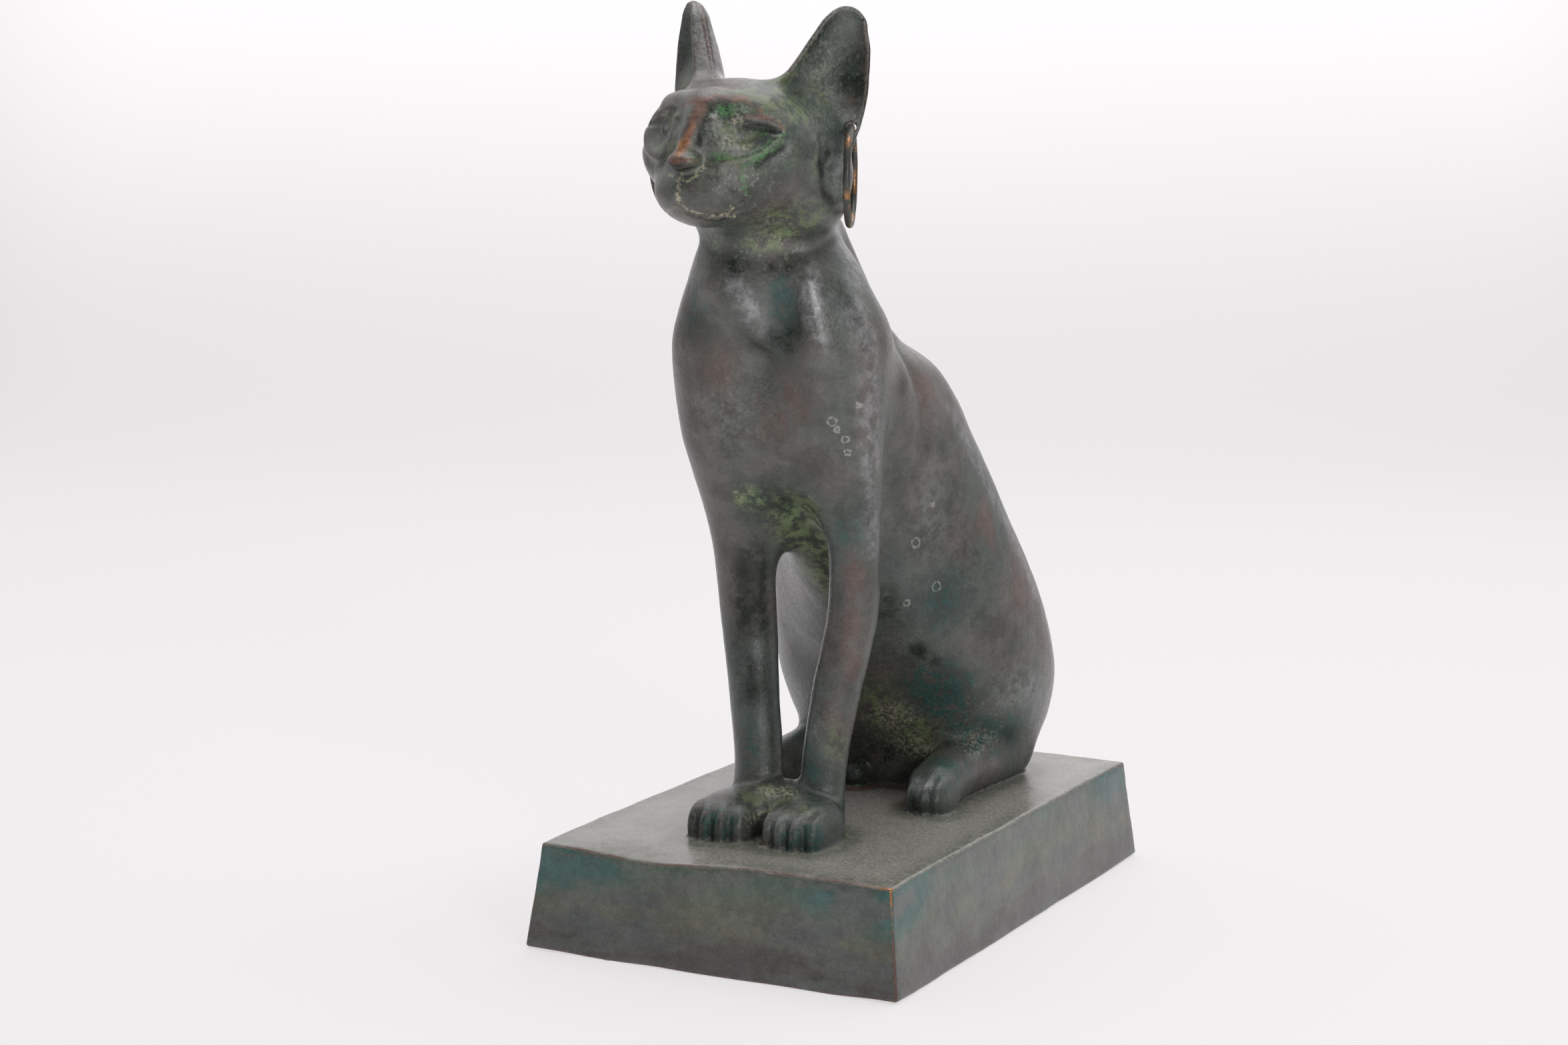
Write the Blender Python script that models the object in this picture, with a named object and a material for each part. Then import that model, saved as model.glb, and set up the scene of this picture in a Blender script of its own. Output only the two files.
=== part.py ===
"""A seated bronze cat, cast in one piece with its plinth, with a wire ring through each ear.

The cat is a field: a function that gives, for any point, about how far it lies outside the bronze.
Rounded masses (haunches, ribs, legs, head, ears) are blended into one another, as a modeller
blends wax, and the skin of the field becomes the mesh. The plinth is a tapered block, joined to
the cat by a Boolean, and the ears are pierced along the path of their rings.

Frame: +Z up, origin at the bottom centre of the plinth, the cat faces -Y and its left is +X.
Sizes are in millimetres here and become metres when a mesh is written.
"""
import math

import bmesh
import bpy
import numpy as np

MM = 0.001

# ---------------------------------------------------------------- driving dimensions
PLINTH_HEIGHT = 33.0
PLINTH_BOTTOM = (62.5, 100.0)     # half width and half length at the floor
PLINTH_TOP = (58.4, 96.2)         # the sides lean inward
PLINTH_BEVEL = 0.9

HEAD_PLACE = (-5.6, -84.5, 249.5)  # midpoint between the eyes
HEAD_TURN = math.radians(5.8)     # the head looks slightly to the cat's right
HEAD_TILT = math.radians(2.2)     # and leans slightly to its left
UPPER_BODY_LEAN = 0.045           # sideways drift to the cat's right, per mm above the elbows
LEAN_STARTS = 125.0

FACE_SLOPE = math.radians(32.0)   # each side of the face, at the eye, slants back by this much
EAR_FACING = math.radians(43.0)   # the open side of each ear looks outward by this much
EAR_ROOT = (24.8, 22.8)
EAR_TOP = 35.2
EAR_RIM = 1.3
RIGHT_EAR_SHIFT = 3.2             # the right ear stands this much further out at its root
RIGHT_EAR_DEPTH = 1.2             # and is this much deeper from front to back
RIGHT_EYE_SLIMMER = 0.105         # the right side of the upper face is narrower by this share

RING_RADIUS = 14.2                # to the middle of the wire
RING_WIRE = 1.1                   # radius of the wire
RING_CLEARANCE = 0.5
RING_HOLE = {"left": (29.4, 25.8, 0.4), "right": (-30.8, 27.2, -0.8)}    # in the head's frame
RING_HEADING = {"left": math.radians(21.0), "right": math.radians(-10.0)}

CELL = 1.0                        # grid spacing of the field
FIGURE_TRIANGLES = 8200
SINK = 4.0                        # how far the figure reaches down into the plinth

# Haunches and back: height, half width, centre y, half depth
BODY = np.array([
    (28, 30, 54, 30),
    (38, 33, 55, 32),
    (47, 39.5, 56, 35.5),
    (57, 43.2, 54.5, 39.5),
    (68, 45, 52, 42.5),
    (80, 44, 49, 44),
    (93, 42, 44.5, 43.5),
    (106, 39.5, 38, 42.5),
    (120, 35.8, 31.5, 39.8),
    (135, 32.2, 25, 36.2),
    (150, 27.8, 19, 32.4),
    (163, 24.5, 13, 28.5),
    (173, 21, 6, 25),
    (182, 17, -5, 21),
])
BODY_SQUARENESS = 2.3
RIGHT_FULLNESS = 2.4              # how much wider the right haunch is than the left

# Forelegs, upper arms and shoulders: height, distance from the middle,
# then centre y and radius on the right, and centre y and radius on the left
COLUMN = np.array([
    (36, 11.1, -46.5, 8.6, -46.5, 8.0),
    (50, 11.1, -44.0, 7.7, -44.0, 7.1),
    (60, 11.9, -43.2, 7.7, -43.2, 7.2),
    (70, 13.3, -42.5, 7.8, -42.5, 7.5),
    (80, 14.7, -41.4, 8.1, -41.4, 7.8),
    (90, 16.4, -39.8, 8.6, -39.8, 7.9),
    (100, 17.8, -39.0, 8.9, -39.0, 7.8),
    (111, 18.6, -39.2, 9.3, -39.6, 7.6),
    (121, 19.0, -39.4, 10.3, -40.6, 7.9),
    (131, 19.0, -39.5, 12.5, -42.2, 9.2),
    (142, 18.4, -39.9, 15.8, -44.2, 11.2),
    (153, 18.0, -40.6, 18.7, -46.2, 13.0),
    (163, 17.7, -41.5, 19.9, -47.3, 14.4),
    (174, 17.0, -44.4, 20.0, -48.6, 16.2),
    (184, 16.0, -48.0, 19.0, -49.0, 18.0),
    (194, 13.5, -49.8, 17.9, -49.8, 17.9),
    (205, 8.0, -49.8, 18.8, -49.8, 18.8),
    (216, 2.0, -50.8, 18.6, -50.8, 18.6),
])

# Each ear, in its own plane: height, middle of the leaf, half width, depth behind, depth of the hollow
EAR = np.array([
    (-8, -1.0, 6.0, 5.0, 0.0),
    (0, -0.8, 9.2, 7.5, 0.2),
    (6, -1.6, 11.4, 9.0, 1.2),
    (11, -3.8, 14.2, 9.3, 2.4),
    (15, -2.1, 12.6, 9.0, 3.8),
    (19.3, -0.5, 11.1, 8.2, 4.4),
    (23.5, 0.75, 9.7, 7.2, 4.2),
    (27.7, 1.7, 7.9, 6.0, 3.4),
    (31.6, 2.6, 6.1, 4.6, 2.0),
    (33.8, 2.9, 3.9, 3.2, 0.6),
    (36, 3.0, 1.2, 1.6, 0.0),
])


# ---------------------------------------------------------------- building blocks of the field
def join(a, b, blend):
    """Union of two masses, with a fillet of about the size of blend."""
    overlap = np.maximum(blend - np.abs(a - b), 0) / blend
    return np.minimum(a, b) - overlap * overlap * blend / 4


def trim(a, b, blend):
    """What lies inside both, with the edge rounded."""
    return -join(-a, -b, blend)


def ellipse(u, v, a, b, power=2.0):
    """Distance, near the curve, to an ellipse or a squarer oval with half axes a and b."""
    p, q = np.abs(u) / a, np.abs(v) / b
    k = (p ** power + q ** power) ** (1 / power) + 1e-6
    slope = np.sqrt(((p / k) ** (power - 1) / a) ** 2 + ((q / k) ** (power - 1) / b) ** 2)
    return (k - 1) / (slope + 1e-6)


def egg(point, centre, radii, power=2.0):
    """Distance, near the skin, to an ellipsoid or a boxier one."""
    scaled = [np.abs(p - c) / r for p, c, r in zip(point, centre, radii)]
    k = sum(s ** power for s in scaled) ** (1 / power) + 1e-6
    slope = sum(((s / k) ** (power - 1) / r) ** 2 for s, r in zip(scaled, radii))
    return (k - 1) / (np.sqrt(slope) + 1e-6)


def cone(point, start, end, start_radius, end_radius):
    """A round bar with round ends, thicker at one end."""
    axis = np.subtract(end, start)
    along = sum((p - s) * a for p, s, a in zip(point, start, axis)) / float(axis @ axis)
    along = np.clip(along, 0, 1)
    away = sum((p - s - along * a) ** 2 for p, s, a in zip(point, start, axis))
    return np.sqrt(away) - start_radius - (end_radius - start_radius) * along


def limb(point, knots):
    """Round bars end to end. Each knot is x, y, z, radius."""
    bars = [cone(point, a[:3], b[:3], a[3], b[3]) for a, b in zip(knots, knots[1:])]
    return np.minimum.reduce(bars)


def groove(skin, point, knots, width, depth):
    """Presses a soft furrow into the skin along a path near it. A depth below 0 raises a ridge."""
    path = limb(point, [(*knot, 0) for knot in knots])
    return skin + depth * np.exp(-(path / width) ** 2)


def profile(z, sections, column):
    """One column of a table of level sections, as a smooth curve through its rows."""
    heights, values = sections[:, 0], sections[:, column]
    slopes = np.gradient(values, heights)
    z = np.clip(z, heights[0], heights[-1])
    row = np.clip(np.searchsorted(heights, z) - 1, 0, len(heights) - 2)
    gap = heights[row + 1] - heights[row]
    t = (z - heights[row]) / gap
    low = (1 + 2 * t) * (1 - t) ** 2 * values[row] + t * (1 - t) ** 2 * gap * slopes[row]
    high = t * t * (3 - 2 * t) * values[row + 1] - t * t * (1 - t) * gap * slopes[row + 1]
    return low + high


def mirrored(point):
    """Both sides as one: the right side is folded onto the left."""
    x, y, z = point
    return np.sqrt(x * x + 0.25), y, z


def turned(x, y, angle):
    return math.cos(angle) * x - math.sin(angle) * y, math.sin(angle) * x + math.cos(angle) * y


# ---------------------------------------------------------------- the cat's masses
def haunches_and_back(point):
    x, y, z = point
    wide, middle, deep = (profile(z, BODY, column) for column in (1, 2, 3))
    wide = wide + RIGHT_FULLNESS * np.exp(-((z - 98) / 24) ** 2) * (x < 0)
    skin = ellipse(x, y - middle, wide, deep, BODY_SQUARENESS)
    skin = trim(skin, z - 184, 14)
    return np.maximum(skin, BODY[0, 0] - z)


def column(point, side):
    """Foreleg, upper arm and shoulder in one: side is +1 for the cat's left, -1 for its right."""
    x, y, z = point
    lean = -UPPER_BODY_LEAN * np.maximum(z - LEAN_STARTS, 0)
    centre = side * profile(z, COLUMN, 1) + lean
    back, radius = (profile(z, COLUMN, k) for k in ((4, 5) if side > 0 else (2, 3)))
    skin = np.hypot(x - centre, y - back) - radius
    skin = trim(skin, z - COLUMN[-1, 0], 10)
    return np.maximum(skin, COLUMN[0, 0] - z)


def chest(point):
    """Ribs, breast and belly, which fill the body between the columns and the haunches."""
    ribs = cone(point, (-2, -30, 172), (0, 8, 146), 20, 25)
    belly = cone(point, (0, -24, 139), (0, 16, 100), 17.5, 24)
    breast = egg(point, (-1.6, -41, 160), (18, 18.5, 25))
    side = limb(point, [(12, -34, 184, 12.4), (14, -22, 168, 13.5), (12.5, -6, 148, 14)])
    return join(join(join(ribs, belly, 12), breast, 8), side, 10)


def forepaw(point, middle, half_width):
    """A paw with four toes fanned across its front."""
    skin = egg(point, (middle, -57.5, 37), (half_width, 13.5, 9.6), 2.5)
    for spread in (-0.74, -0.26, 0.24, 0.72):
        centre = (middle + spread * half_width, -66.6 + 4.5 * spread ** 2, 36.4)
        skin = join(skin, egg(point, centre, (0.29 * half_width, 7.4, 7.6), 2.2), 1.7)
    return skin


def forepaws(point):
    left = forepaw(point, 12.6, 10.0)
    right = forepaw(point, -12.6, 10.4)
    web = egg(point, (0, -49, 37), (14, 12, 12.5))
    return join(np.minimum(left, right), web, 5)


def hind_foot(point):
    """A long hind foot, with its toes in front."""
    skin = limb(point, [(26, 60, 42, 12), (26.8, 20, 41, 9), (28.4, 2, 39.6, 8.6)])
    for across, back in ((25.6, -3.2), (29.8, -4.6), (33.6, -2.6)):
        skin = join(skin, egg(point, (across, back, 37.2), (3.4, 8.0, 7.2)), 2.4)
    return skin


def tail_tip(point):
    return egg(point, (-7, 19, 37), (4, 5, 4.5))


def throat_and_shoulders(skin, point):
    """The hollow below the throat with its two swellings, the edges of the shoulders, and the elbow."""
    skin = groove(skin, point, [(6, -71, 208), (8.2, -69, 201), (9.6, -67, 190), (11, -64, 176)], 5.2, 3.6)
    skin = groove(skin, point, [(-10, -70, 213), (0, -73, 213), (16, -65, 216)], 7.0, 2.6)
    skin = groove(skin, point, [(-14, -69, 201), (-7, -71, 195), (-1, -69, 185)], 6.0, -3.0)
    skin = groove(skin, point, [(15, -67, 203), (16.6, -67, 192), (18, -65, 180)], 4.8, -2.4)
    edge = [(22, -59, 202), (30.5, -56, 184.5), (31.7, -54.6, 168.7), (30.5, -51.3, 148.4), (27, -44, 120)]
    skin = groove(skin, point, edge, 4.5, -0.8)
    blade = [(12, -18, 192), (17.5, -11.5, 183), (22, -8, 172), (25, -7, 158), (27, -12, 144)]
    skin = groove(skin, point, blade, 4.0, 1.2)
    return join(skin, cone(point, (18.6, -35.5, 108), (18.0, -35.2, 98), 5.6, 4.6), 4)


# ---------------------------------------------------------------- the head
def to_head(point):
    """World coordinates to the head's own: midway between the eyes, x left, y back, z up."""
    x, y, z = (p - c for p, c in zip(point, HEAD_PLACE))
    x, y = turned(x, y, HEAD_TURN)
    x, z = turned(x, z, HEAD_TILT)
    return x, y, z


def from_head(point):
    x, y, z = point
    x, z = turned(x, z, -HEAD_TILT)
    x, y = turned(x, y, -HEAD_TURN)
    return tuple(p + c for p, c in zip((x, y, z), HEAD_PLACE))


def ear(x, y, z, depth=1.0):
    """The left ear: a cupped leaf, round behind, with a shallow hollow on its open side."""
    middle, wide, deep, hollow = (profile(z, EAR, column) for column in (1, 2, 3, 4))
    deep = deep * depth
    across, back = turned(x - EAR_ROOT[0], y - EAR_ROOT[1], -EAR_FACING)
    across = across - middle
    leaf = trim(ellipse(across, back, wide, deep), z - EAR_TOP, 2)
    leaf = trim(leaf, EAR[0, 0] - z, 4)
    bowl = np.clip(1 - (across / np.maximum(wide - EAR_RIM, 0.5)) ** 2, 0, 1) ** 0.8
    front = -1.0 + hollow * bowl
    return trim(leaf, front - back, 1.2) * 0.8


def face(skin, place, pair):
    """The creases around the eyes, the nose and the mouth, and below the ears."""
    skin = groove(skin, pair, [(4.6, -13.5, 4.5), (4.0, -16, -1), (4.4, -17.5, -6.5)], 1.9, 0.9)
    skin = groove(skin, pair, [(13, -8.8, -0.4), (20, -4.6, -0.6), (22.6, -3.2, -1.2)], 1.6, 0.9)
    skin = groove(skin, pair, [(24.4, -2.6, -5.6), (21, -6.6, -9.2), (16.6, -10.4, -12.6)], 2.0, 0.9)
    mouth = [(0, -18.4, -24.6), (4.4, -16.4, -25.9), (8, -13.2, -26.4), (14.5, -7, -24.4)]
    skin = groove(skin, pair, mouth, 1.2, 1.0)
    jaw = [(27.5, 14, -5), (25, 14, -10), (23.5, 17, -15), (22, 22, -18.5), (24, 28, -19.5), (26, 34, -17)]
    return groove(skin, pair, jaw, 2.0, 1.3)


def head(point):
    x, y, z = to_head(point)
    slimmer = 1 + RIGHT_EYE_SLIMMER * np.clip((z + 9) / 12, 0, 1) * (x < 0)
    ears = x, y, z
    x = x * slimmer
    place = x, y, z
    pair = mirrored(place)
    skull = egg(place, (0, 11.5, -4), (26.5, 26, 17.3))
    jaw = egg(place, (0, 10, -17), (19, 20, 12.2))
    occiput = egg(place, (0, 24, -12), (21, 16, 18))
    cheeks = egg(pair, (12, 7.5, -9), (14, 17, 13))
    lobes = egg(pair, (15.4, 25.6, -16), (13.6, 13.8, 16.5))
    muzzle = egg(place, (0, -5, -19.5), (15, 14.2, 10.5))
    bridge = cone(place, (0, -8.2, 4), (0, -16.4, -8.4), 4.4, 3.0)
    brow = limb(pair, [(0, -6.5, 6.2, 3), (10, -4.6, 5.4, 3), (16, -2, 4.4, 3), (20.5, 2.5, -0.5, 2.6)])
    skin = join(join(skull, jaw, 8), occiput, 8)
    skin = join(join(skin, cheeks, 8), lobes, 6)
    skin = join(skin, muzzle, 5)
    face_x, face_y = turned(pair[0] - 14, pair[1] + 9.5, -FACE_SLOPE)
    socket = egg((face_x, face_y, z), (0, -5, -1.8), (9, 7.4, 5.8))
    eye = egg((face_x, face_y, z), (-0.3, 6.6, -1.2), (8, 5.4, 4.8))
    skin = join(join(skin, bridge, 5), brow, 4)
    skin = join(trim(skin, -socket, 3.5), eye, 2.0)
    leather = egg(place, (0.2, -17.0, -10.8), (4.5, 4.4, 2.9), 2.4)
    skin = join(skin, leather, 1.0)
    skin = face(skin, place, pair)
    x, y, z = ears
    skin = join(skin, ear(x, y, z), 6)
    shift = RIGHT_EAR_SHIFT * np.clip(1 - z / EAR_TOP, 0, 1) ** 0.4
    return join(skin, ear(-x - shift, y, z, RIGHT_EAR_DEPTH), 6)


def figure(point):
    """The whole cat, without its plinth."""
    legs = join(column(point, 1), column(point, -1), 5)
    skin = join(haunches_and_back(point), chest(point), 12)
    skin = join(skin, legs, 14)
    skin = join(skin, hind_foot(mirrored(point)), 6)
    throat = cone(point, (-4, -50, 204), (-4.3, -60, 232), 18.5, 18.5)
    nape = cone(point, (-3.5, -36, 218), (-1, -3, 175), 13.2, 15.4)
    skin = join(join(skin, nape, 5), throat, 10)
    skin = join(skin, forepaws(point), 3)
    skin = join(skin, tail_tip(point), 2)
    skin = throat_and_shoulders(skin, point)
    skin = join(skin, head(point), 6)
    return np.maximum(skin, PLINTH_HEIGHT - SINK - point[2])


# ---------------------------------------------------------------- from field to mesh
def gradient(field, points, reach=0.2):
    slope = np.empty_like(points)
    for axis in range(3):
        shift = np.zeros(3)
        shift[axis] = reach
        slope[:, axis] = field((points + shift).T) - field((points - shift).T)
    return slope / (2 * reach)


def without_saddles(inside):
    """Fills each grid square that has only two opposite corners inside, where four faces would meet."""
    for _ in range(3):
        for axis in range(3):
            squares = np.moveaxis(inside, axis, 0)
            corners = [squares[:, i, j] for i in (slice(0, -1), slice(1, None))
                       for j in (slice(0, -1), slice(1, None))]
            saddle = (corners[0] == corners[3]) & (corners[1] == corners[2]) & (corners[0] != corners[1])
            for corner in corners:
                corner |= saddle
    return inside


def surface_net(field, low, high, cell):
    """Points and quads of the skin: one point in each grid cell that the skin crosses."""
    axes = [np.arange(a, b + cell, cell) for a, b in zip(low, high)]
    values = np.stack([field(np.meshgrid([x], *axes[1:], indexing="ij")) for x in axes[0]])
    values = values.reshape([len(axis) for axis in axes])
    inside = without_saddles(values < 0)
    cells = tuple(size - 1 for size in inside.shape)
    corners = [(i, j, k) for i in (0, 1) for j in (0, 1) for k in (0, 1)]

    def corner(array, offset):
        return array[tuple(slice(o, o + size) for o, size in zip(offset, cells))]

    count = sum(corner(inside, offset).astype(int) for offset in corners)
    crossed = (count > 0) & (count < 8)
    number = np.full(cells, -1)
    number[crossed] = np.arange(crossed.sum())
    points = (np.argwhere(crossed) + 0.5) * cell + np.array([axis[0] for axis in axes])
    for _ in range(4):
        slope = gradient(field, points)
        step = field(points.T) / np.maximum((slope ** 2).sum(1), 0.1)
        points -= np.clip(step[:, None] * slope, -0.6 * cell, 0.6 * cell)
    faces = []
    for axis in range(3):
        before = tuple(slice(0, -1) if a == axis else slice(1, -1) for a in range(3))
        after = tuple(slice(1, None) if a == axis else slice(1, -1) for a in range(3))
        u, v = np.eye(3, dtype=int)[[(axis + 1) % 3, (axis + 2) % 3]]
        for leaving, order in ((True, (0, 1, 2, 3)), (False, (3, 2, 1, 0))):
            edge = (inside[before] == leaving) & (inside[after] != leaving)
            at = np.argwhere(edge) + 1
            at[:, axis] -= 1
            ring = [at - u - v, at - v, at, at - u]
            faces.append(np.stack([number[tuple(ring[i].T)] for i in order], 1))
    return points, np.concatenate(faces)


def new_object(name, points, faces, material):
    mesh = bpy.data.meshes.new(name)
    mesh.from_pydata([tuple(MM * c for c in point) for point in points], [], [list(f) for f in faces])
    mesh.materials.append(material)
    item = bpy.data.objects.new(name, mesh)
    bpy.context.scene.collection.objects.link(item)
    return item


def triangles_of(mesh):
    return sum(len(polygon.vertices) - 2 for polygon in mesh.polygons)


def apply_modifiers(item):
    """Keep the evaluated mesh as the object's own."""
    evaluated = item.evaluated_get(bpy.context.evaluated_depsgraph_get())
    item.data = bpy.data.meshes.new_from_object(evaluated)
    item.modifiers.clear()


# ---------------------------------------------------------------- materials
def metal(name, colour, roughness):
    material = bpy.data.materials.new(name)
    material.use_nodes = True
    shader = material.node_tree.nodes["Principled BSDF"]
    shader.inputs["Base Color"].default_value = (*colour, 1)
    shader.inputs["Roughness"].default_value = roughness
    shader.inputs["Metallic"].default_value = 1.0
    material.diffuse_color = (*colour, 1)
    return material


# ---------------------------------------------------------------- the pieces
def plinth_block(material):
    """The tapered block under the cat, with its edges softened."""
    item = new_object("plinth_block", [], [], material)
    shape = bmesh.new()
    loops = []
    for (wide, long), height in ((PLINTH_BOTTOM, 0), (PLINTH_TOP, PLINTH_HEIGHT)):
        corners = ((-wide, -long), (wide, -long), (wide, long), (-wide, long))
        loops.append([shape.verts.new((x * MM, y * MM, height * MM)) for x, y in corners])
    bottom, top = loops
    shape.faces.new(bottom[::-1])
    shape.faces.new(top)
    for i in range(4):
        shape.faces.new((bottom[i], bottom[(i + 1) % 4], top[(i + 1) % 4], top[i]))
    edges = [edge for edge in shape.edges if any(v in top for v in edge.verts)]
    bmesh.ops.bevel(shape, geom=edges, offset=PLINTH_BEVEL * MM, segments=2, profile=0.5,
                    affect="EDGES")
    shape.to_mesh(item.data)
    shape.free()
    return item


def ring_points(side, wire, around, sides):
    """Points and quads of a ring that hangs plumb from its hole: side is "left" or "right"."""
    hole = from_head(RING_HOLE[side])
    forward = (math.sin(RING_HEADING[side]), -math.cos(RING_HEADING[side]))
    points = []
    for i in range(around):
        turn = 2 * math.pi * i / around
        for j in range(sides):
            bend = 2 * math.pi * (j + 0.5) / sides
            reach = RING_RADIUS + wire * math.cos(bend)
            ahead, aside = reach * math.sin(turn), wire * math.sin(bend)
            points.append((hole[0] + ahead * forward[0] - aside * forward[1],
                           hole[1] + ahead * forward[1] + aside * forward[0],
                           hole[2] - RING_RADIUS + reach * math.cos(turn)))
    faces = []
    for i in range(around):
        for j in range(sides):
            k, m = (i + 1) % around, (j + 1) % sides
            faces.append((i * sides + j, k * sides + j, k * sides + m, i * sides + m))
    return points, faces


def cut(item, cutter, operation):
    """Boolean the second object into the first, and drop it."""
    boolean = item.modifiers.new(operation.title(), "BOOLEAN")
    boolean.operation = operation
    boolean.solver = "EXACT"
    boolean.object = cutter
    apply_modifiers(item)
    bpy.data.objects.remove(cutter)


def make_cat(material):
    """The figure, thinned to a light mesh, joined to its plinth and pierced for the rings."""
    low = (-52, -110, PLINTH_HEIGHT - SINK - CELL)
    high = (52, 104, HEAD_PLACE[2] + EAR_TOP + 5)
    points, quads = surface_net(figure, low, high, CELL)
    item = new_object("cat_statue", points, quads, material)
    thin = item.modifiers.new("Thin", "DECIMATE")
    thin.ratio = FIGURE_TRIANGLES / triangles_of(item.data)
    apply_modifiers(item)
    cut(item, plinth_block(material), "UNION")
    for side in RING_HEADING:
        path = ring_points(side, RING_WIRE + RING_CLEARANCE, 60, 12)
        cut(item, new_object("ring_path", *path, material), "DIFFERENCE")
    item.data.shade_smooth()
    item.data.set_sharp_from_angle(angle=math.radians(35))
    return item


def make_earring(side, material):
    item = new_object(side + "_earring", *ring_points(side, RING_WIRE, 36, 8), material)
    item.data.shade_smooth()
    return item


def main():
    for item in list(bpy.data.objects):
        bpy.data.objects.remove(item)
    bronze = metal("patinated_bronze", (0.10, 0.115, 0.10), 0.45)
    copper = metal("worn_copper_wire", (0.24, 0.15, 0.10), 0.40)
    make_cat(bronze)
    for side in RING_HEADING:
        make_earring(side, copper)


if __name__ == "__main__":
    main()
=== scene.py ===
"""Looks of the seated bronze cat: the finished casting, its patina, its earrings, and a plain studio.

The casting is one mesh, skinned over a field of blended masses as in the construction, with the
finer modelling added: eyelids, nose, mouth, toes, the hollow of the breast, and the unevenness of
a hand-finished surface. Masks painted on its points say where each kind of patina lies, and where
highlights and shade are painted into its colour.
Lengths are in millimetres and become metres when a mesh is written. The cat faces -Y.
"""
import math
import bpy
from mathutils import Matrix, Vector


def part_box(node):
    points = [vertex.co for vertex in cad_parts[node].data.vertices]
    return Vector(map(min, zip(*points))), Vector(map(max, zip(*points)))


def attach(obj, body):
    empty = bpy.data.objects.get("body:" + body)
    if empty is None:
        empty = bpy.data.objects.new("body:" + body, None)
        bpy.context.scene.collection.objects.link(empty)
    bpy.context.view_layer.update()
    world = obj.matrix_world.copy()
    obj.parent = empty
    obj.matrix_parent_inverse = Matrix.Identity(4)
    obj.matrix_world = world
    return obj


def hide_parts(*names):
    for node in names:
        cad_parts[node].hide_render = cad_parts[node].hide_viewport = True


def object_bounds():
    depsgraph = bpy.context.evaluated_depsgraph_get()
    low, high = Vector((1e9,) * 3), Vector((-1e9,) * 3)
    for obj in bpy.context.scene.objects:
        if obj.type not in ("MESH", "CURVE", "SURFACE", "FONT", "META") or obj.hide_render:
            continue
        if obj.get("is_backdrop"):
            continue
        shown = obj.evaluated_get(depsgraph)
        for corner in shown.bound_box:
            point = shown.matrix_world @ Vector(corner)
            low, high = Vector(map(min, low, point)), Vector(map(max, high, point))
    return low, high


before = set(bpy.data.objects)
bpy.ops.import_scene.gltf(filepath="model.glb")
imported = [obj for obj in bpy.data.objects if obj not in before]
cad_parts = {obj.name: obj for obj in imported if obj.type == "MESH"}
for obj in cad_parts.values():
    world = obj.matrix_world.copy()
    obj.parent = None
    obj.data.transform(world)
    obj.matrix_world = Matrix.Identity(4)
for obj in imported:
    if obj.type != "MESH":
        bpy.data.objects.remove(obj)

from concurrent.futures import ThreadPoolExecutor

import bpy
import numpy as np
from mathutils import Matrix, Vector

CAD_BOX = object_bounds()
MM = 0.001

# ---------------------------------------------------------------- sizes taken from the frame
LOW, HIGH = ([c / MM for c in corner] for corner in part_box("cat_statue"))
PLINTH_BOTTOM = (HIGH[0] - 0.05, HIGH[1] - 0.05)    # half width and half length at the floor
PLINTH_HEIGHT = 33.6
PLINTH_LEAN = (4.1, 3.8)                      # how far the sides lean inward by the top
PLINTH_EDGE = 0.9
PLINTH_CORNER = (58.5, -95.5, 32)             # the front left upper corner, where copper shows most

HEAD_PLACE = (-5.6, -84.5, 249.5)             # midpoint between the eyes
HEAD_TURN = math.radians(5.8)                 # towards the cat's right
HEAD_TILT = math.radians(2.2)                 # towards its left
UPPER_BODY_LEAN = 0.045
LEAN_STARTS = 125.0

FACE_SLOPE = math.radians(32.0)
EAR_FACING = math.radians(43.0)
EAR_ROOT = (24.8, 22.8)
EAR_TOP = 35.2
EAR_RIM = 1.3
RIGHT_EAR_SHIFT = 3.2
RIGHT_EAR_DEPTH = 1.2
RIGHT_EYE_SLIMMER = 0.105

RING_WIRE = 1.1
RING_CLEARANCE = 0.45

CELL = 0.6
BLOCK = 5
SLICE = 40000
FIGURE_TRIANGLES = 195000                     # what the casting is thinned to, least on the face and toes
NECK_FROM, TORSO_TO = 205, 262                # levels between which both head and torso matter


# ---------------------------------------------------------------- tables of level sections
# Haunches and back: height, half width, centre y, half depth
BODY = np.array([
    (28, 30, 54, 30),
    (38, 33, 55, 32),
    (47, 39.5, 56, 35.5),
    (57, 43.2, 54.5, 39.5),
    (68, 45, 52, 42.5),
    (80, 44, 49, 44),
    (93, 42, 44.5, 43.5),
    (106, 39.5, 38, 42.5),
    (120, 35.8, 31.5, 39.8),
    (135, 32.2, 25, 36.2),
    (150, 27.8, 19, 32.4),
    (163, 24.5, 13, 28.5),
    (173, 21, 6, 25),
    (182, 17, -5, 21),
])
BODY_SQUARENESS = 2.3
RIGHT_FULLNESS = 2.4                          # how much wider the right haunch is than the left

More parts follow.
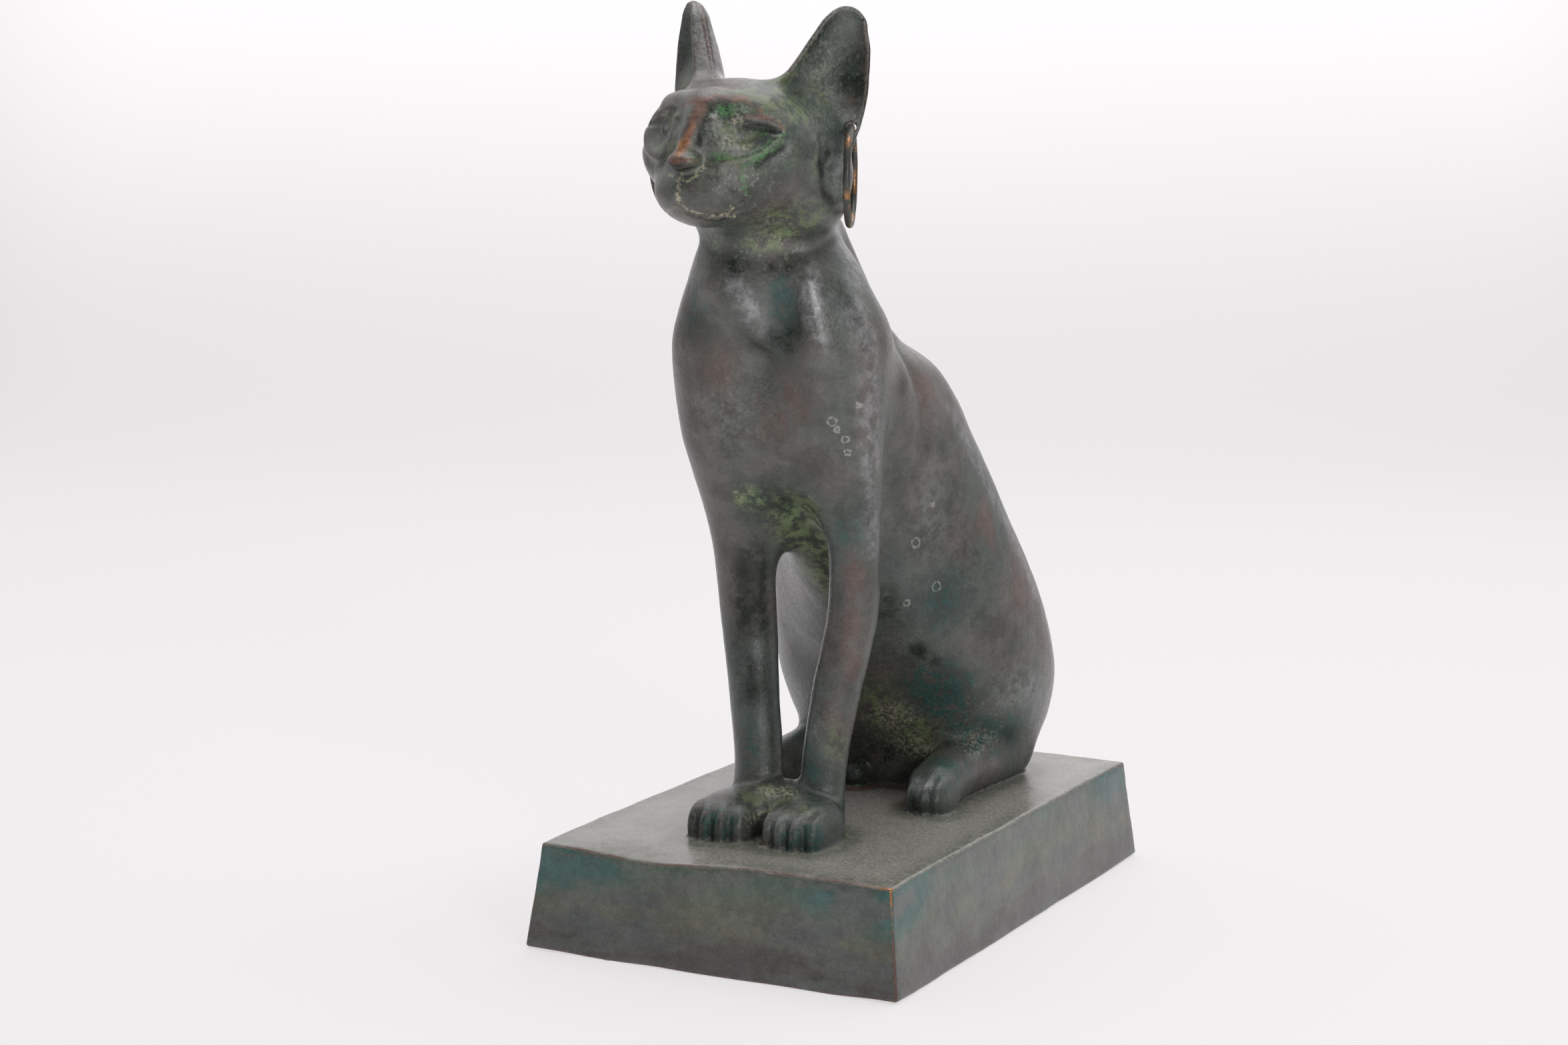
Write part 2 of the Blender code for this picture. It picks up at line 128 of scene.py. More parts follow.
# Forelegs, upper arms and shoulders: height, distance from the middle,
# then centre y and radius on the right, and centre y and radius on the left
COLUMN = np.array([
    (36, 11.1, -46.5, 8.6, -46.5, 8.0),
    (50, 11.1, -44.0, 7.7, -44.0, 7.1),
    (60, 11.9, -43.2, 7.7, -43.2, 7.2),
    (70, 13.3, -42.5, 7.8, -42.5, 7.5),
    (80, 14.7, -41.4, 8.1, -41.4, 7.8),
    (90, 16.4, -39.8, 8.6, -39.8, 7.9),
    (100, 17.8, -39.0, 8.9, -39.0, 7.8),
    (111, 18.6, -39.2, 9.3, -39.6, 7.6),
    (121, 19.0, -39.4, 10.3, -40.6, 7.9),
    (131, 19.0, -39.5, 12.5, -42.2, 9.2),
    (142, 18.4, -39.9, 15.8, -44.2, 11.2),
    (153, 18.0, -40.6, 18.7, -46.2, 13.0),
    (163, 17.7, -41.5, 19.9, -47.3, 14.4),
    (174, 17.0, -44.4, 20.0, -48.6, 16.2),
    (184, 16.0, -48.0, 19.0, -49.0, 18.0),
    (194, 13.5, -49.8, 17.9, -49.8, 17.9),
    (205, 8.0, -49.8, 18.8, -49.8, 18.8),
    (216, 2.0, -50.8, 18.6, -50.8, 18.6),
])

# Each ear, in its own plane: height, middle of the leaf, half width, depth behind, depth of the hollow
EAR = np.array([
    (-8, -1.0, 6.0, 5.0, 0.0),
    (0, -0.8, 9.2, 7.5, 0.2),
    (6, -1.6, 11.4, 9.0, 1.2),
    (11, -3.8, 14.2, 9.3, 2.4),
    (15, -2.1, 12.6, 9.0, 3.8),
    (19.3, -0.5, 11.1, 8.2, 4.4),
    (23.5, 0.75, 9.7, 7.2, 4.2),
    (27.7, 1.7, 7.9, 6.0, 3.4),
    (31.6, 2.6, 6.1, 4.6, 2.0),
    (33.8, 2.9, 3.9, 3.2, 0.6),
    (36, 3.0, 1.2, 1.6, 0.0),
])


# ---------------------------------------------------------------- building blocks of the field
def join(a, b, blend):
    """Union of two masses, with a fillet of about the size of blend."""
    overlap = np.maximum(blend - np.abs(a - b), 0) / blend
    return np.minimum(a, b) - overlap * overlap * blend / 4


def trim(a, b, blend):
    """What lies inside both, with the edge rounded."""
    return -join(-a, -b, blend)


def ellipse(u, v, a, b, power=2.0):
    """Distance, near the curve, to an ellipse or a squarer oval with half axes a and b."""
    p, q = np.abs(u) / a, np.abs(v) / b
    k = (p ** power + q ** power) ** (1 / power) + 1e-6
    slope = np.sqrt(((p / k) ** (power - 1) / a) ** 2 + ((q / k) ** (power - 1) / b) ** 2)
    return (k - 1) / (slope + 1e-6)


def egg(point, centre, radii, power=2.0):
    """Distance, near the skin, to an ellipsoid or a boxier one."""
    scaled = [np.abs(p - c) / r for p, c, r in zip(point, centre, radii)]
    k = sum(s ** power for s in scaled) ** (1 / power) + 1e-6
    slope = sum(((s / k) ** (power - 1) / r) ** 2 for s, r in zip(scaled, radii))
    return (k - 1) / (np.sqrt(slope) + 1e-6)


def cone(point, start, end, start_radius, end_radius):
    """A round bar with round ends, thicker at one end."""
    axis = np.subtract(end, start)
    along = sum((p - s) * a for p, s, a in zip(point, start, axis)) / float(axis @ axis)
    along = np.clip(along, 0, 1)
    away = sum((p - s - along * a) ** 2 for p, s, a in zip(point, start, axis))
    return np.sqrt(away) - start_radius - (end_radius - start_radius) * along


def limb(point, knots):
    """Round bars end to end. Each knot is x, y, z, radius."""
    bars = [cone(point, a[:3], b[:3], a[3], b[3]) for a, b in zip(knots, knots[1:])]
    return np.minimum.reduce(bars)


def dab(point, centre, radii):
    """A soft spot, 1 in the middle."""
    away = sum(((p - c) / r) ** 2 for p, c, r in zip(point, centre, radii))
    return np.exp(-away)


def stroke(point, knots, width):
    """A soft line through points on the skin, 1 along its middle."""
    path = limb(point, [(*knot, 0) for knot in knots])
    return np.exp(-(path / width) ** 2)


def furrows(skin, point, rows):
    """Presses soft furrows into the skin: path, width and depth. A depth below 0 raises a ridge."""
    for path, width, depth in rows:
        skin = skin + depth * stroke(point, path, width)
    return skin


def profile(z, sections, column):
    """One column of a table of level sections, as a smooth curve through its rows."""
    heights, values = sections[:, 0], sections[:, column]
    slopes = np.gradient(values, heights)
    z = np.clip(z, heights[0], heights[-1])
    row = np.clip(np.searchsorted(heights, z) - 1, 0, len(heights) - 2)
    gap = heights[row + 1] - heights[row]
    t = (z - heights[row]) / gap
    low = (1 + 2 * t) * (1 - t) ** 2 * values[row] + t * (1 - t) ** 2 * gap * slopes[row]
    high = t * t * (3 - 2 * t) * values[row + 1] - t * t * (1 - t) * gap * slopes[row + 1]
    return low + high


def mirrored(point):
    """Both sides as one: the right side is folded onto the left."""
    x, y, z = point
    return np.sqrt(x * x + 0.25), y, z


def turned(x, y, angle):
    return math.cos(angle) * x - math.sin(angle) * y, math.sin(angle) * x + math.cos(angle) * y


def ripple(point, wavelength, seed=0.0):
    """A slow, irregular waver between about -1 and 1, from a few sine waves."""
    x, y, z = (p * (2 * math.pi / wavelength) for p in point)
    return (np.sin(x + 1.7 * np.sin(0.61 * y + seed) + seed) * np.cos(0.9 * y - 0.4 * z + 2 * seed)
            + np.sin(1.13 * z + 1.3 * np.sin(0.7 * x - seed) + 3 * seed) * np.cos(0.83 * x + 0.5 * y)) / 2


# ---------------------------------------------------------------- the cat's masses
def haunches_and_back(point):
    x, y, z = point
    wide, middle, deep = (profile(z, BODY, column) for column in (1, 2, 3))
    wide = wide + RIGHT_FULLNESS * np.exp(-((z - 98) / 24) ** 2) * (x < 0)
    skin = ellipse(x, y - middle, wide, deep, BODY_SQUARENESS)
    skin = trim(skin, z - 184, 14)
    return np.maximum(skin, BODY[0, 0] - z)


def column(point, side):
    """Foreleg, upper arm and shoulder in one: side is +1 for the cat's left, -1 for its right."""
    x, y, z = point
    lean = -UPPER_BODY_LEAN * np.maximum(z - LEAN_STARTS, 0)
    centre = side * profile(z, COLUMN, 1) + lean
    back, radius = (profile(z, COLUMN, k) for k in ((4, 5) if side > 0 else (2, 3)))
    skin = np.hypot(x - centre, y - back) - radius
    skin = trim(skin, z - COLUMN[-1, 0], 10)
    return np.maximum(skin, COLUMN[0, 0] - z)


def chest(point):
    """Ribs, breast and belly, which fill the body between the columns and the haunches."""
    ribs = cone(point, (-2, -30, 172), (0, 8, 146), 20, 25)
    belly = cone(point, (0, -24, 139), (0, 16, 100), 17.5, 24)
    breast = egg(point, (-1.6, -41, 160), (18, 18.5, 25))
    side = limb(point, [(12, -34, 184, 12.4), (14, -22, 168, 13.5), (12.5, -6, 148, 14)])
    return join(join(join(ribs, belly, 12), breast, 8), side, 10)


def forepaw(point, middle, half_width):
    """A paw with four toes fanned across its front."""
    skin = egg(point, (middle, -57.5, 37), (half_width, 13.5, 9.6), 2.5)
    for spread in (-0.74, -0.26, 0.24, 0.72):
        centre = (middle + spread * half_width, -66.6 + 4.5 * spread ** 2, 36.4)
        skin = join(skin, egg(point, centre, (0.29 * half_width, 7.4, 7.6), 2.2), 1.7)
    return skin


def forepaws(point):
    left = forepaw(point, 12.6, 10.0)
    right = forepaw(point, -12.6, 10.4)
    web = egg(point, (0, -49, 37), (14, 12, 12.5))
    return join(np.minimum(left, right), web, 5)


def hind_foot(point):
    """A long hind foot, with its toes in front."""
    skin = limb(point, [(26, 60, 42, 12), (26.8, 20, 41, 9), (28.4, 2, 39.6, 8.6)])
    for across, back in ((25.6, -3.2), (29.8, -4.6), (33.6, -2.6)):
        skin = join(skin, egg(point, (across, back, 37.2), (3.4, 8.0, 7.2)), 2.4)
    return skin


def tail_tip(point):
    return egg(point, (-7, 19, 37), (4, 5, 4.5))


def modelling(skin, point):
    """The hollow below the throat with its two swellings, the edges of the shoulders, and the elbow."""
    edge = [(22, -59, 202), (30.5, -56, 184.5), (31.7, -54.6, 168.7), (30.5, -51.3, 148.4), (27, -44, 120)]
    blade = [(12, -18, 192), (17.5, -11.5, 183), (22, -8, 172), (25, -7, 158), (27, -12, 144)]
    skin = furrows(skin, point, [
        ([(6, -71, 208), (8.2, -69, 201), (9.2, -67, 191)], 5.6, 3.2),
        ([(-10, -70, 213), (0, -73, 213), (16, -65, 216)], 7.0, 2.6),
        ([(-14, -69, 201), (-7, -71, 195), (-1, -69, 185)], 6.0, -3.0),
        ([(15, -67, 203), (16.6, -67, 192), (18, -65, 180)], 4.8, -2.4),
        (edge, 4.5, -0.8),
        (blade, 4.0, 1.2),
    ])
    return join(skin, cone(point, (18.6, -35.5, 108), (18.0, -35.2, 98), 5.6, 4.6), 4)


def torso(point):
    legs = join(column(point, 1), column(point, -1), 5)
    skin = join(haunches_and_back(point), chest(point), 12)
    skin = join(skin, legs, 14)
    skin = join(skin, hind_foot(mirrored(point)), 6)
    throat = cone(point, (-4, -50, 204), (-4.3, -60, 232), 18.5, 18.5)
    nape = cone(point, (-3.5, -36, 218), (-1, -3, 175), 13.2, 15.4)
    skin = join(join(skin, nape, 5), throat, 10)
    skin = join(skin, forepaws(point), 3)
    skin = join(skin, tail_tip(point), 2)
    return modelling(skin, point)


# ---------------------------------------------------------------- the head
def to_head(point):
    """World coordinates to the head's own: midway between the eyes, x left, y back, z up."""
    x, y, z = (p - c for p, c in zip(point, HEAD_PLACE))
    x, y = turned(x, y, HEAD_TURN)
    x, z = turned(x, z, HEAD_TILT)
    return x, y, z


def from_head(place):
    x, y, z = place
    x, z = turned(x, z, -HEAD_TILT)
    x, y = turned(x, y, -HEAD_TURN)
    return tuple(p + c for p, c in zip((x, y, z), HEAD_PLACE))


def ear_place(x, y, z):
    """Across the left ear from its middle line, and back from its open side."""
    across, back = turned(x - EAR_ROOT[0], y - EAR_ROOT[1], -EAR_FACING)
    return across - profile(z, EAR, 1), back


def seam_lines(across, back, deep, z):
    """Two fine raised lines down the outer edge of the ear's back."""
    lines = [np.exp(-((back - 0.5 * deep + offset) / 0.45) ** 2) for offset in (-0.6, 0.7)]
    return np.maximum(*lines) * (across < 0) * (z > 8)


def to_right_ear(x, y, z):
    """Where a point near the right ear lies on the left ear that it mirrors."""
    return -x - RIGHT_EAR_SHIFT * np.clip(1 - z / EAR_TOP, 0, 1) ** 0.4, y, z


def ear(x, y, z, depth=1.0, seam=0.0):
    """The left ear: a cupped leaf, round behind, with a shallow hollow on its open side."""
    wide, deep, hollow = (profile(z, EAR, column) for column in (2, 3, 4))
    deep = deep * depth
    across, back = ear_place(x, y, z)
    leaf = trim(ellipse(across, back, wide, deep), z - EAR_TOP, 2)
    leaf = trim(leaf, EAR[0, 0] - z, 4)
    bowl = np.clip(1 - (across / np.maximum(wide - EAR_RIM, 0.5)) ** 2, 0, 1) ** 0.8
    front = -1.0 + hollow * bowl
    leaf = trim(leaf, front - back, 1.2) * 0.8
    return leaf + seam * seam_lines(across, back, deep, z)


def face(skin, place, pair):
    """Presses and raises the finer features of the face."""
    upper_lid = [(12.5, -9.6, 2.2), (16, -7, 2.4), (20, -4.6, 1.8), (23.6, -2.2, -0.6)]
    slit = [(13, -8.8, -0.4), (16.5, -6.8, -0.4), (20, -4.6, -0.6), (22.6, -3.2, -1.2)]
    lower_lid = [(23.6, -3.4, -3.4), (20.5, -6.6, -6.6), (16.6, -9.6, -9.4), (11, -13.4, -10.6)]
    mouth = [(0, -18.4, -24.6), (4.4, -16.4, -25.9), (8, -13.2, -26.4), (12, -10, -25.6), (14.5, -7, -24.4)]
    nostril = [(0, -18.6, -15.0), (3.4, -18.2, -13.9), (5.4, -16.4, -12), (6.2, -15, -9.6)]
    jaw = [(27.5, 14, -5), (25, 14, -10), (23.5, 17, -15), (22, 22, -18.5), (24, 28, -19.5), (26, 34, -17)]
    skin = furrows(skin, place, [([(0, -20, -15), (0, -20.5, -19), (0, -18, -24.5)], 0.9, 1.3)])
    return furrows(skin, pair, [
        ([(4.6, -13.5, 4.5), (4.0, -16, -1), (4.4, -17.5, -6.5)], 1.7, 0.9),
        ([(6.6, -13.4, 1.5), (7.4, -12.8, -2), (8.2, -12.8, -6)], 1.6, -0.7),
        (upper_lid, 1.5, -0.6),
        (slit, 1.2, 1.0),
        (lower_lid, 1.5, -0.7),
        ([(24.4, -2.6, -5.6), (21, -6.6, -9.2), (16.6, -10.4, -12.6)], 2.0, 0.9),
        (mouth, 0.8, 1.4),
        (nostril, 0.8, 1.2),
        ([(2.4, -18.8, -12.6), (3.3, -18.2, -12.2)], 0.9, 0.8),
        (jaw, 2.0, 1.3),
    ])


def head(point):
    x, y, z = to_head(point)
    slimmer = 1 + RIGHT_EYE_SLIMMER * np.clip((z + 9) / 12, 0, 1) * (x < 0)
    ears = x, y, z
    x = x * slimmer
    place = x, y, z
    pair = mirrored(place)
    skull = egg(place, (0, 11.5, -4), (26.5, 26, 17.3))
    jaw = egg(place, (0, 10, -17), (19, 20, 12.2))
    occiput = egg(place, (0, 24, -12), (21, 16, 18))
    cheeks = egg(pair, (12, 7.5, -9), (14, 17, 13))
    lobes = egg(pair, (15.4, 25.6, -16), (13.6, 13.8, 16.5))
    muzzle = egg(place, (0, -5, -19.5), (15, 14.2, 10.5))
    bridge = cone(place, (0, -8.2, 4), (0, -16.4, -8.4), 4.4, 3.0)
    brow = limb(pair, [(0, -6.5, 6.2, 3), (10, -4.6, 5.4, 3), (16, -2, 4.4, 3), (20.5, 2.5, -0.5, 2.6)])
    skin = join(join(skull, jaw, 8), occiput, 8)
    skin = join(join(skin, cheeks, 8), lobes, 6)
    skin = join(skin, muzzle, 5)
    face_x, face_y = turned(pair[0] - 14, pair[1] + 9.5, -FACE_SLOPE)
    socket = egg((face_x, face_y, z), (0, -5, -1.8), (9, 7.4, 5.8))
    eye = egg((face_x, face_y, z), (-0.3, 6.6, -1.2), (8, 5.4, 4.8))
    skin = join(join(skin, bridge, 5), brow, 4)
    skin = join(trim(skin, -socket, 3.5), eye, 2.0)
    leather = egg(place, (0.2, -16.8, -10.9), (4.9, 4.6, 3.0), 2.3)
    skin = join(skin, leather, 1.3)
    skin = face(skin, place, pair)
    x, y, z = ears
    skin = join(skin, ear(x, y, z), 6)
    return join(skin, ear(*to_right_ear(x, y, z), RIGHT_EAR_DEPTH, 0.35), 6)


# ---------------------------------------------------------------- the casting
def plinth_gaps(point):
    """How far a point stands outside the plinth's sides, ends, top and underside, all a little uneven."""
    x, y, z = point
    rise = np.clip(z / PLINTH_HEIGHT, 0, 1)
    waver = 0.22 * (1 + ripple(point, 46, 2.0)) + 0.06 * (1 + ripple(point, 13, 5.0))
    side = np.abs(x) - (PLINTH_BOTTOM[0] - PLINTH_LEAN[0] * rise) + waver
    end = np.abs(y) - (PLINTH_BOTTOM[1] - PLINTH_LEAN[1] * rise) + waver
    corner = dab((side, end), (0, 0), (9, 9))
    dip = 2.2 * dab((x, y), (-24, -99), (22, 14)) + 0.35 * corner
    dip = dip + 0.25 * (1 + ripple((x, y, 0 * z), 60, 1.0)) + 0.07 * ripple(point, 11, 3.0)
    top = z - PLINTH_HEIGHT + dip
    low = 0.4 * dab((side, end), (0, 0), (16, 16)) + 0.2 * (1 + ripple((x, y, 0 * z), 38, 4.0))
    rim = np.exp(-(np.maximum(side, end) / 5) ** 2)
    return side, end, top, low * rim - z


def plinth(point):
    gaps = plinth_gaps(point)
    away = [gap + PLINTH_EDGE for gap in gaps]
    outside = np.sqrt(sum(np.maximum(a, 0) ** 2 for a in away))
    inside = np.minimum(np.maximum.reduce(away), 0)
    return outside + inside - PLINTH_EDGE


def cat(point):
    """Torso and head. Far from the neck only one of the two matters."""
    z = point[2]
    skin = torso(point) if z.min() < TORSO_TO else np.full_like(z, 50)
    if z.max() > NECK_FROM:
        skin = join(skin, head(point), 6)
    return skin + 0.07 * (1 + ripple(point, 15, 1.0)) + 0.035 * (1 + ripple(point, 6, 2.0))


def casting(point):
    """The cat and its plinth as one piece, with the holes for the rings."""
    z = point[2]
    skin = np.maximum(cat(point), 20 - z)
    if z.min() < PLINTH_HEIGHT + 12:
        skin = join(skin, plinth(point), 1.6)
    if z.max() > NECK_FROM:
        for side in RINGS:
            skin = np.maximum(skin, RING_CLEARANCE - ring(point, side))
    return skin


# ---------------------------------------------------------------- earrings
def ring_place(side):
    """Centre, radius and heading of a hanging ring, from its node in the frame."""
    low, high = ([c / MM for c in corner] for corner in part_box(side + "_earring"))
    centre = [(a + b) / 2 for a, b in zip(low, high)]
    radius = (high[2] - low[2]) / 2 - RING_WIRE
    heading = math.atan2(high[0] - low[0] - 2 * RING_WIRE, high[1] - low[1] - 2 * RING_WIRE)
    return centre, radius, heading if side == "left" else -heading


RINGS = {side: ring_place(side) for side in ("left", "right")}


def ring(point, side):
    (cx, cy, cz), radius, heading = RINGS[side]
    x, y, z = point[0] - cx, point[1] - cy, point[2] - cz
    ahead = x * math.sin(heading) - y * math.cos(heading)
    aside = x * math.cos(heading) + y * math.sin(heading)
    return np.hypot(np.hypot(ahead, z) - radius, aside) - RING_WIRE


# ---------------------------------------------------------------- from field to mesh
def evaluated(field, points):
    """The field at many points, worked out in slices from the floor up, on a few threads."""
    order = np.argsort(points[:, 2], kind="stable")
    slices = np.array_split(points[order].astype(np.float32), len(points) // SLICE + 1)
    values = np.empty(len(points), np.float32)
    with ThreadPoolExecutor(4) as pool:
        done = pool.map(lambda part: field(np.ascontiguousarray(part.T)), slices)
        values[order] = np.concatenate(list(done))
    return values


def pairs_around(field, points, reach):
    """Field values ahead of and behind the points, along each axis in turn."""
    for shift in np.eye(3) * reach:
        yield evaluated(field, points + shift), evaluated(field, points - shift)


def gradient(field, points, reach=0.15):
    slopes = [ahead - behind for ahead, behind in pairs_around(field, points, reach)]
    return np.stack(slopes, 1).astype(float) / (2 * reach)


def step_to_skin(values, slope, most):
    """The way from each point to where the field is about 0, at most this far along each axis."""
    step = values / np.maximum((slope ** 2).sum(1), 0.1)
    return -np.clip(step[:, None] * slope, -most, most)


def grid_of(*axes):
    """All the points of a grid, as rows."""
    return np.stack(np.meshgrid(*axes, indexing="ij"), -1).reshape(-1, 3)


def sample(field, axes, cell):
    """Field values on a grid. Blocks well away from the skin get one value each."""
    middles = [axis.reshape(-1, BLOCK).mean(1) for axis in axes]
    coarse = evaluated(field, grid_of(*middles)).reshape([len(middle) for middle in middles])
    near = np.argwhere(np.abs(coarse) < 1.6 * BLOCK * cell)
    values = coarse
    for axis in range(3):
        values = np.repeat(values, BLOCK, axis)
    at = (near[:, None] * BLOCK + grid_of(*[range(BLOCK)] * 3)).reshape(-1, 3).T
    points = np.stack([axis[place] for axis, place in zip(axes, at)], 1)
    values[tuple(at)] = evaluated(field, points)
    return values


def surface_net(field, low, high, cell):
    """Points and quads of the skin: one point in each grid cell that the skin crosses."""
    blocks = [math.ceil((b - a) / (cell * BLOCK)) for a, b in zip(low, high)]
    axes = [a + cell * np.arange(count * BLOCK) for a, count in zip(low, blocks)]
    values = sample(field, axes, cell)
    inside = values < 0
    cells = tuple(size - 1 for size in inside.shape)
    corners = [(i, j, k) for i in (0, 1) for j in (0, 1) for k in (0, 1)]

    def corner(array, offset):
        return array[tuple(slice(o, o + size) for o, size in zip(offset, cells))]

    count = np.zeros(cells, np.int8)
    for offset in corners:
        count += corner(inside, offset)
    crossed = (count > 0) & (count < 8)
    number = np.full(cells, -1, np.int32)
    number[crossed] = np.arange(crossed.sum())
    at_corners = np.stack([corner(values, offset)[crossed] for offset in corners], 1)
    signs = np.array(corners) * 2 - 1
    slope = at_corners @ signs / (4 * cell)
    points = (np.argwhere(crossed) + 0.5) * cell + np.array([axis[0] for axis in axes])
    points += step_to_skin(at_corners.mean(1), slope, 0.6 * cell)
    points += step_to_skin(evaluated(field, points), gradient(field, points), 0.4 * cell)
    faces = []
    for axis in range(3):
        before = tuple(slice(0, -1) if a == axis else slice(1, -1) for a in range(3))
        after = tuple(slice(1, None) if a == axis else slice(1, -1) for a in range(3))
        u, v = np.eye(3, dtype=int)[[(axis + 1) % 3, (axis + 2) % 3]]
        for leaving, order in ((True, (0, 1, 2, 3)), (False, (3, 2, 1, 0))):
            edge = (inside[before] == leaving) & (inside[after] != leaving)
            at = np.argwhere(edge) + 1
            at[:, axis] -= 1
            around = [at - u - v, at - v, at, at - u]
            faces.append(np.stack([number[tuple(around[i].T)] for i in order], 1))
    return points, np.concatenate(faces)


def new_object(name, points, faces, material):
    mesh = bpy.data.meshes.new(name)
    mesh.vertices.add(len(points))
    mesh.vertices.foreach_set("co", (np.asarray(points, float) * MM).ravel())
    faces = np.asarray(faces)
    mesh.loops.add(faces.size)
    mesh.loops.foreach_set("vertex_index", faces.ravel())
    mesh.polygons.add(len(faces))
    mesh.polygons.foreach_set("loop_start", np.arange(0, faces.size, faces.shape[1]))
    mesh.update(calc_edges=True)
    mesh.materials.append(material)
    item = bpy.data.objects.new(name, mesh)
    bpy.context.scene.collection.objects.link(item)
    return item


def positions(mesh):
    points = np.empty(len(mesh.vertices) * 3)
    mesh.vertices.foreach_get("co", points)
    return points.reshape(-1, 3) / MM


def paint(mesh, name, values):
    layer = mesh.attributes.new(name, "FLOAT", "POINT")
    layer.data.foreach_set("value", np.asarray(values, np.float32))


# ---------------------------------------------------------------- where the patina, painted highlights and painted shade lie
HEAD_REACH = 0.36                             # above this, a soft spot around the head counts as head

# Strokes of each kind of patina, painted highlight and painted shade on the head: strength, width, path in
# the head's own place
HEAD_STROKES = {
    "rust": [
        (0.7, 2.6, [(3.2, -12.2, 6.6), (2.6, -14.4, 2.4)]),
        (0.9, 1.7, [(2.4, -14.4, 2.4), (1.6, -16.6, -1.6), (0.8, -19.6, -6.4)]),
        (0.8, 1.9, [(-3, -12.6, 6.2), (2, -12.4, 7.4), (7, -9, 8.0), (12.6, -6.5, 7.6)]),
        (0.6, 1.1, [(13.6, -6.3, 7.0), (16.4, -5.6, 5.6), (18.2, -5.5, 4.4)]),
        (0.75, 1.0, [(15, -7.4, 2.4), (18, -5.9, 2.4), (21, -3.6, 2.0), (23.8, -2.0, -0.4)]),
        (0.5, 1.2, [(-16, -6, 2.6), (-14, -8, 4.4)]),
        (0.7, 1.0, [(-4, -17, -10.6), (0, -20, -10.8), (4, -17.4, -10.4)]),
        (0.9, 1.0, [(-3.4, -19.4, -9.8), (0.2, -21.6, -9.4), (3.8, -19.2, -10)]),
        (0.5, 1.6, [(4.2, -11.6, 8.6), (9, -8, 9.6), (13, -6, 9)]),
    ],
    "copper": [
        (1.0, 1.7, [(0.9, -19.2, -5.4), (0.4, -20.6, -7.9)]),
        (0.45, 0.9, [(2.6, -15.6, 0.6), (1.6, -18.4, -4)]),
    ],
    # The black strokes under the nose, along the eye's slit, below the mouth and along the back of the jaw
    # are painted shadow and shade.
    "black": [
        (1.0, 2.0, [(-3.4, -19, -12.2), (0.2, -21, -12.4), (3.6, -19, -12.2)]),
        (0.9, 1.5, [(5.2, -13, 4.4), (4.8, -15.4, 0), (4.6, -17, -5)]),
        (0.85, 1.2, [(14.6, -7.8, -0.4), (18, -5.8, -0.3), (21.8, -3.6, -1.0)]),
        (0.7, 1.2, [(9, -11, 5.6), (12.4, -8.6, 3.2), (15.4, -7.4, 1.6)]),
        (0.8, 1.2, [(19.4, -9, -11.2), (22, -6, -8.4), (24.4, -2.6, -5.8)]),
        (0.8, 1.1, [(2.0, -17.6, -26.8), (6, -14.6, -27.6), (11, -10.6, -27)]),
        (0.8, 1.4, [(28, 17, -6.6), (25.4, 14.6, -11), (23.4, 18, -15.6), (23, 25, -19), (25, 32, -18.6)]),
        (0.75, 1.1, [(-15.6, -7.4, 2.6), (-12, -9, 4.2), (-8, -10.6, 3.6)]),
        (0.65, 1.0, [(-16.2, -7, 1.0), (-14.6, -8.4, -3), (-10, -11, -4.4)]),
    ],
    "crust": [
        (0.8, 0.85, [(0, -20, -15.6), (0, -20.5, -18.8), (0, -18.4, -23.6)]),
        (0.75, 0.7, [(-4.6, -17.6, -13.8), (0, -18.8, -15.4), (3.4, -18.2, -14.2), (5.6, -16.4, -12.0)]),
        (0.6, 0.6, [(0.4, -18.2, -24.4), (4.4, -16.2, -25.6), (7.6, -13.4, -26)]),
        (0.8, 0.7, [(7.6, -13.4, -26), (10.5, -11, -25.8), (13.4, -8.4, -25.4)]),
        (0.7, 0.6, [(10.5, -11, -25.6), (12.2, -10, -24)]),
    ],
    "pale": [
        (0.9, 1.0, [(11, 10, 15), (15.5, 14, 22), (19.5, 17, 28), (24, 20.5, 34.6)]),
        (0.9, 1.0, [(-20, 19, 12), (-22.5, 18.5, 22), (-25, 20, 32)]),
    ],
    "malachite": [
        (1.0, 1.8, [(22.8, -4.2, -4.4), (20, -7.4, -7.6), (18.0, -9.0, -9.8)]),
        (0.8, 1.3, [(24, -2.8, -1.8), (23.6, -3.8, -4.2)]),
        (0.65, 1.4, [(16.4, -10, -11.6), (15.6, -9.6, -14.6), (15.9, -8.4, -18)]),
        (0.7, 1.6, [(7.4, -10.8, 4.6), (10, -9.4, 5.2), (13.4, -7.6, 4.6)]),
        (0.6, 1.6, [(8.2, -14.2, -8.6), (12.6, -12.2, -9.6), (16.4, -10.4, -9.4)]),
    ],
    # The haze strokes down the cat's right of the nose and below its right eye are painted light that
    # brightens that side of the face.
    "haze": [
        (0.95, 2.4, [(-2.4, -13.8, 5), (-2.8, -16, -1), (-3.4, -17.6, -7)]),
        (0.9, 2.4, [(-6, -13.6, -1), (-7.4, -13.6, -6), (-12, -11, -9)]),
    ],
}

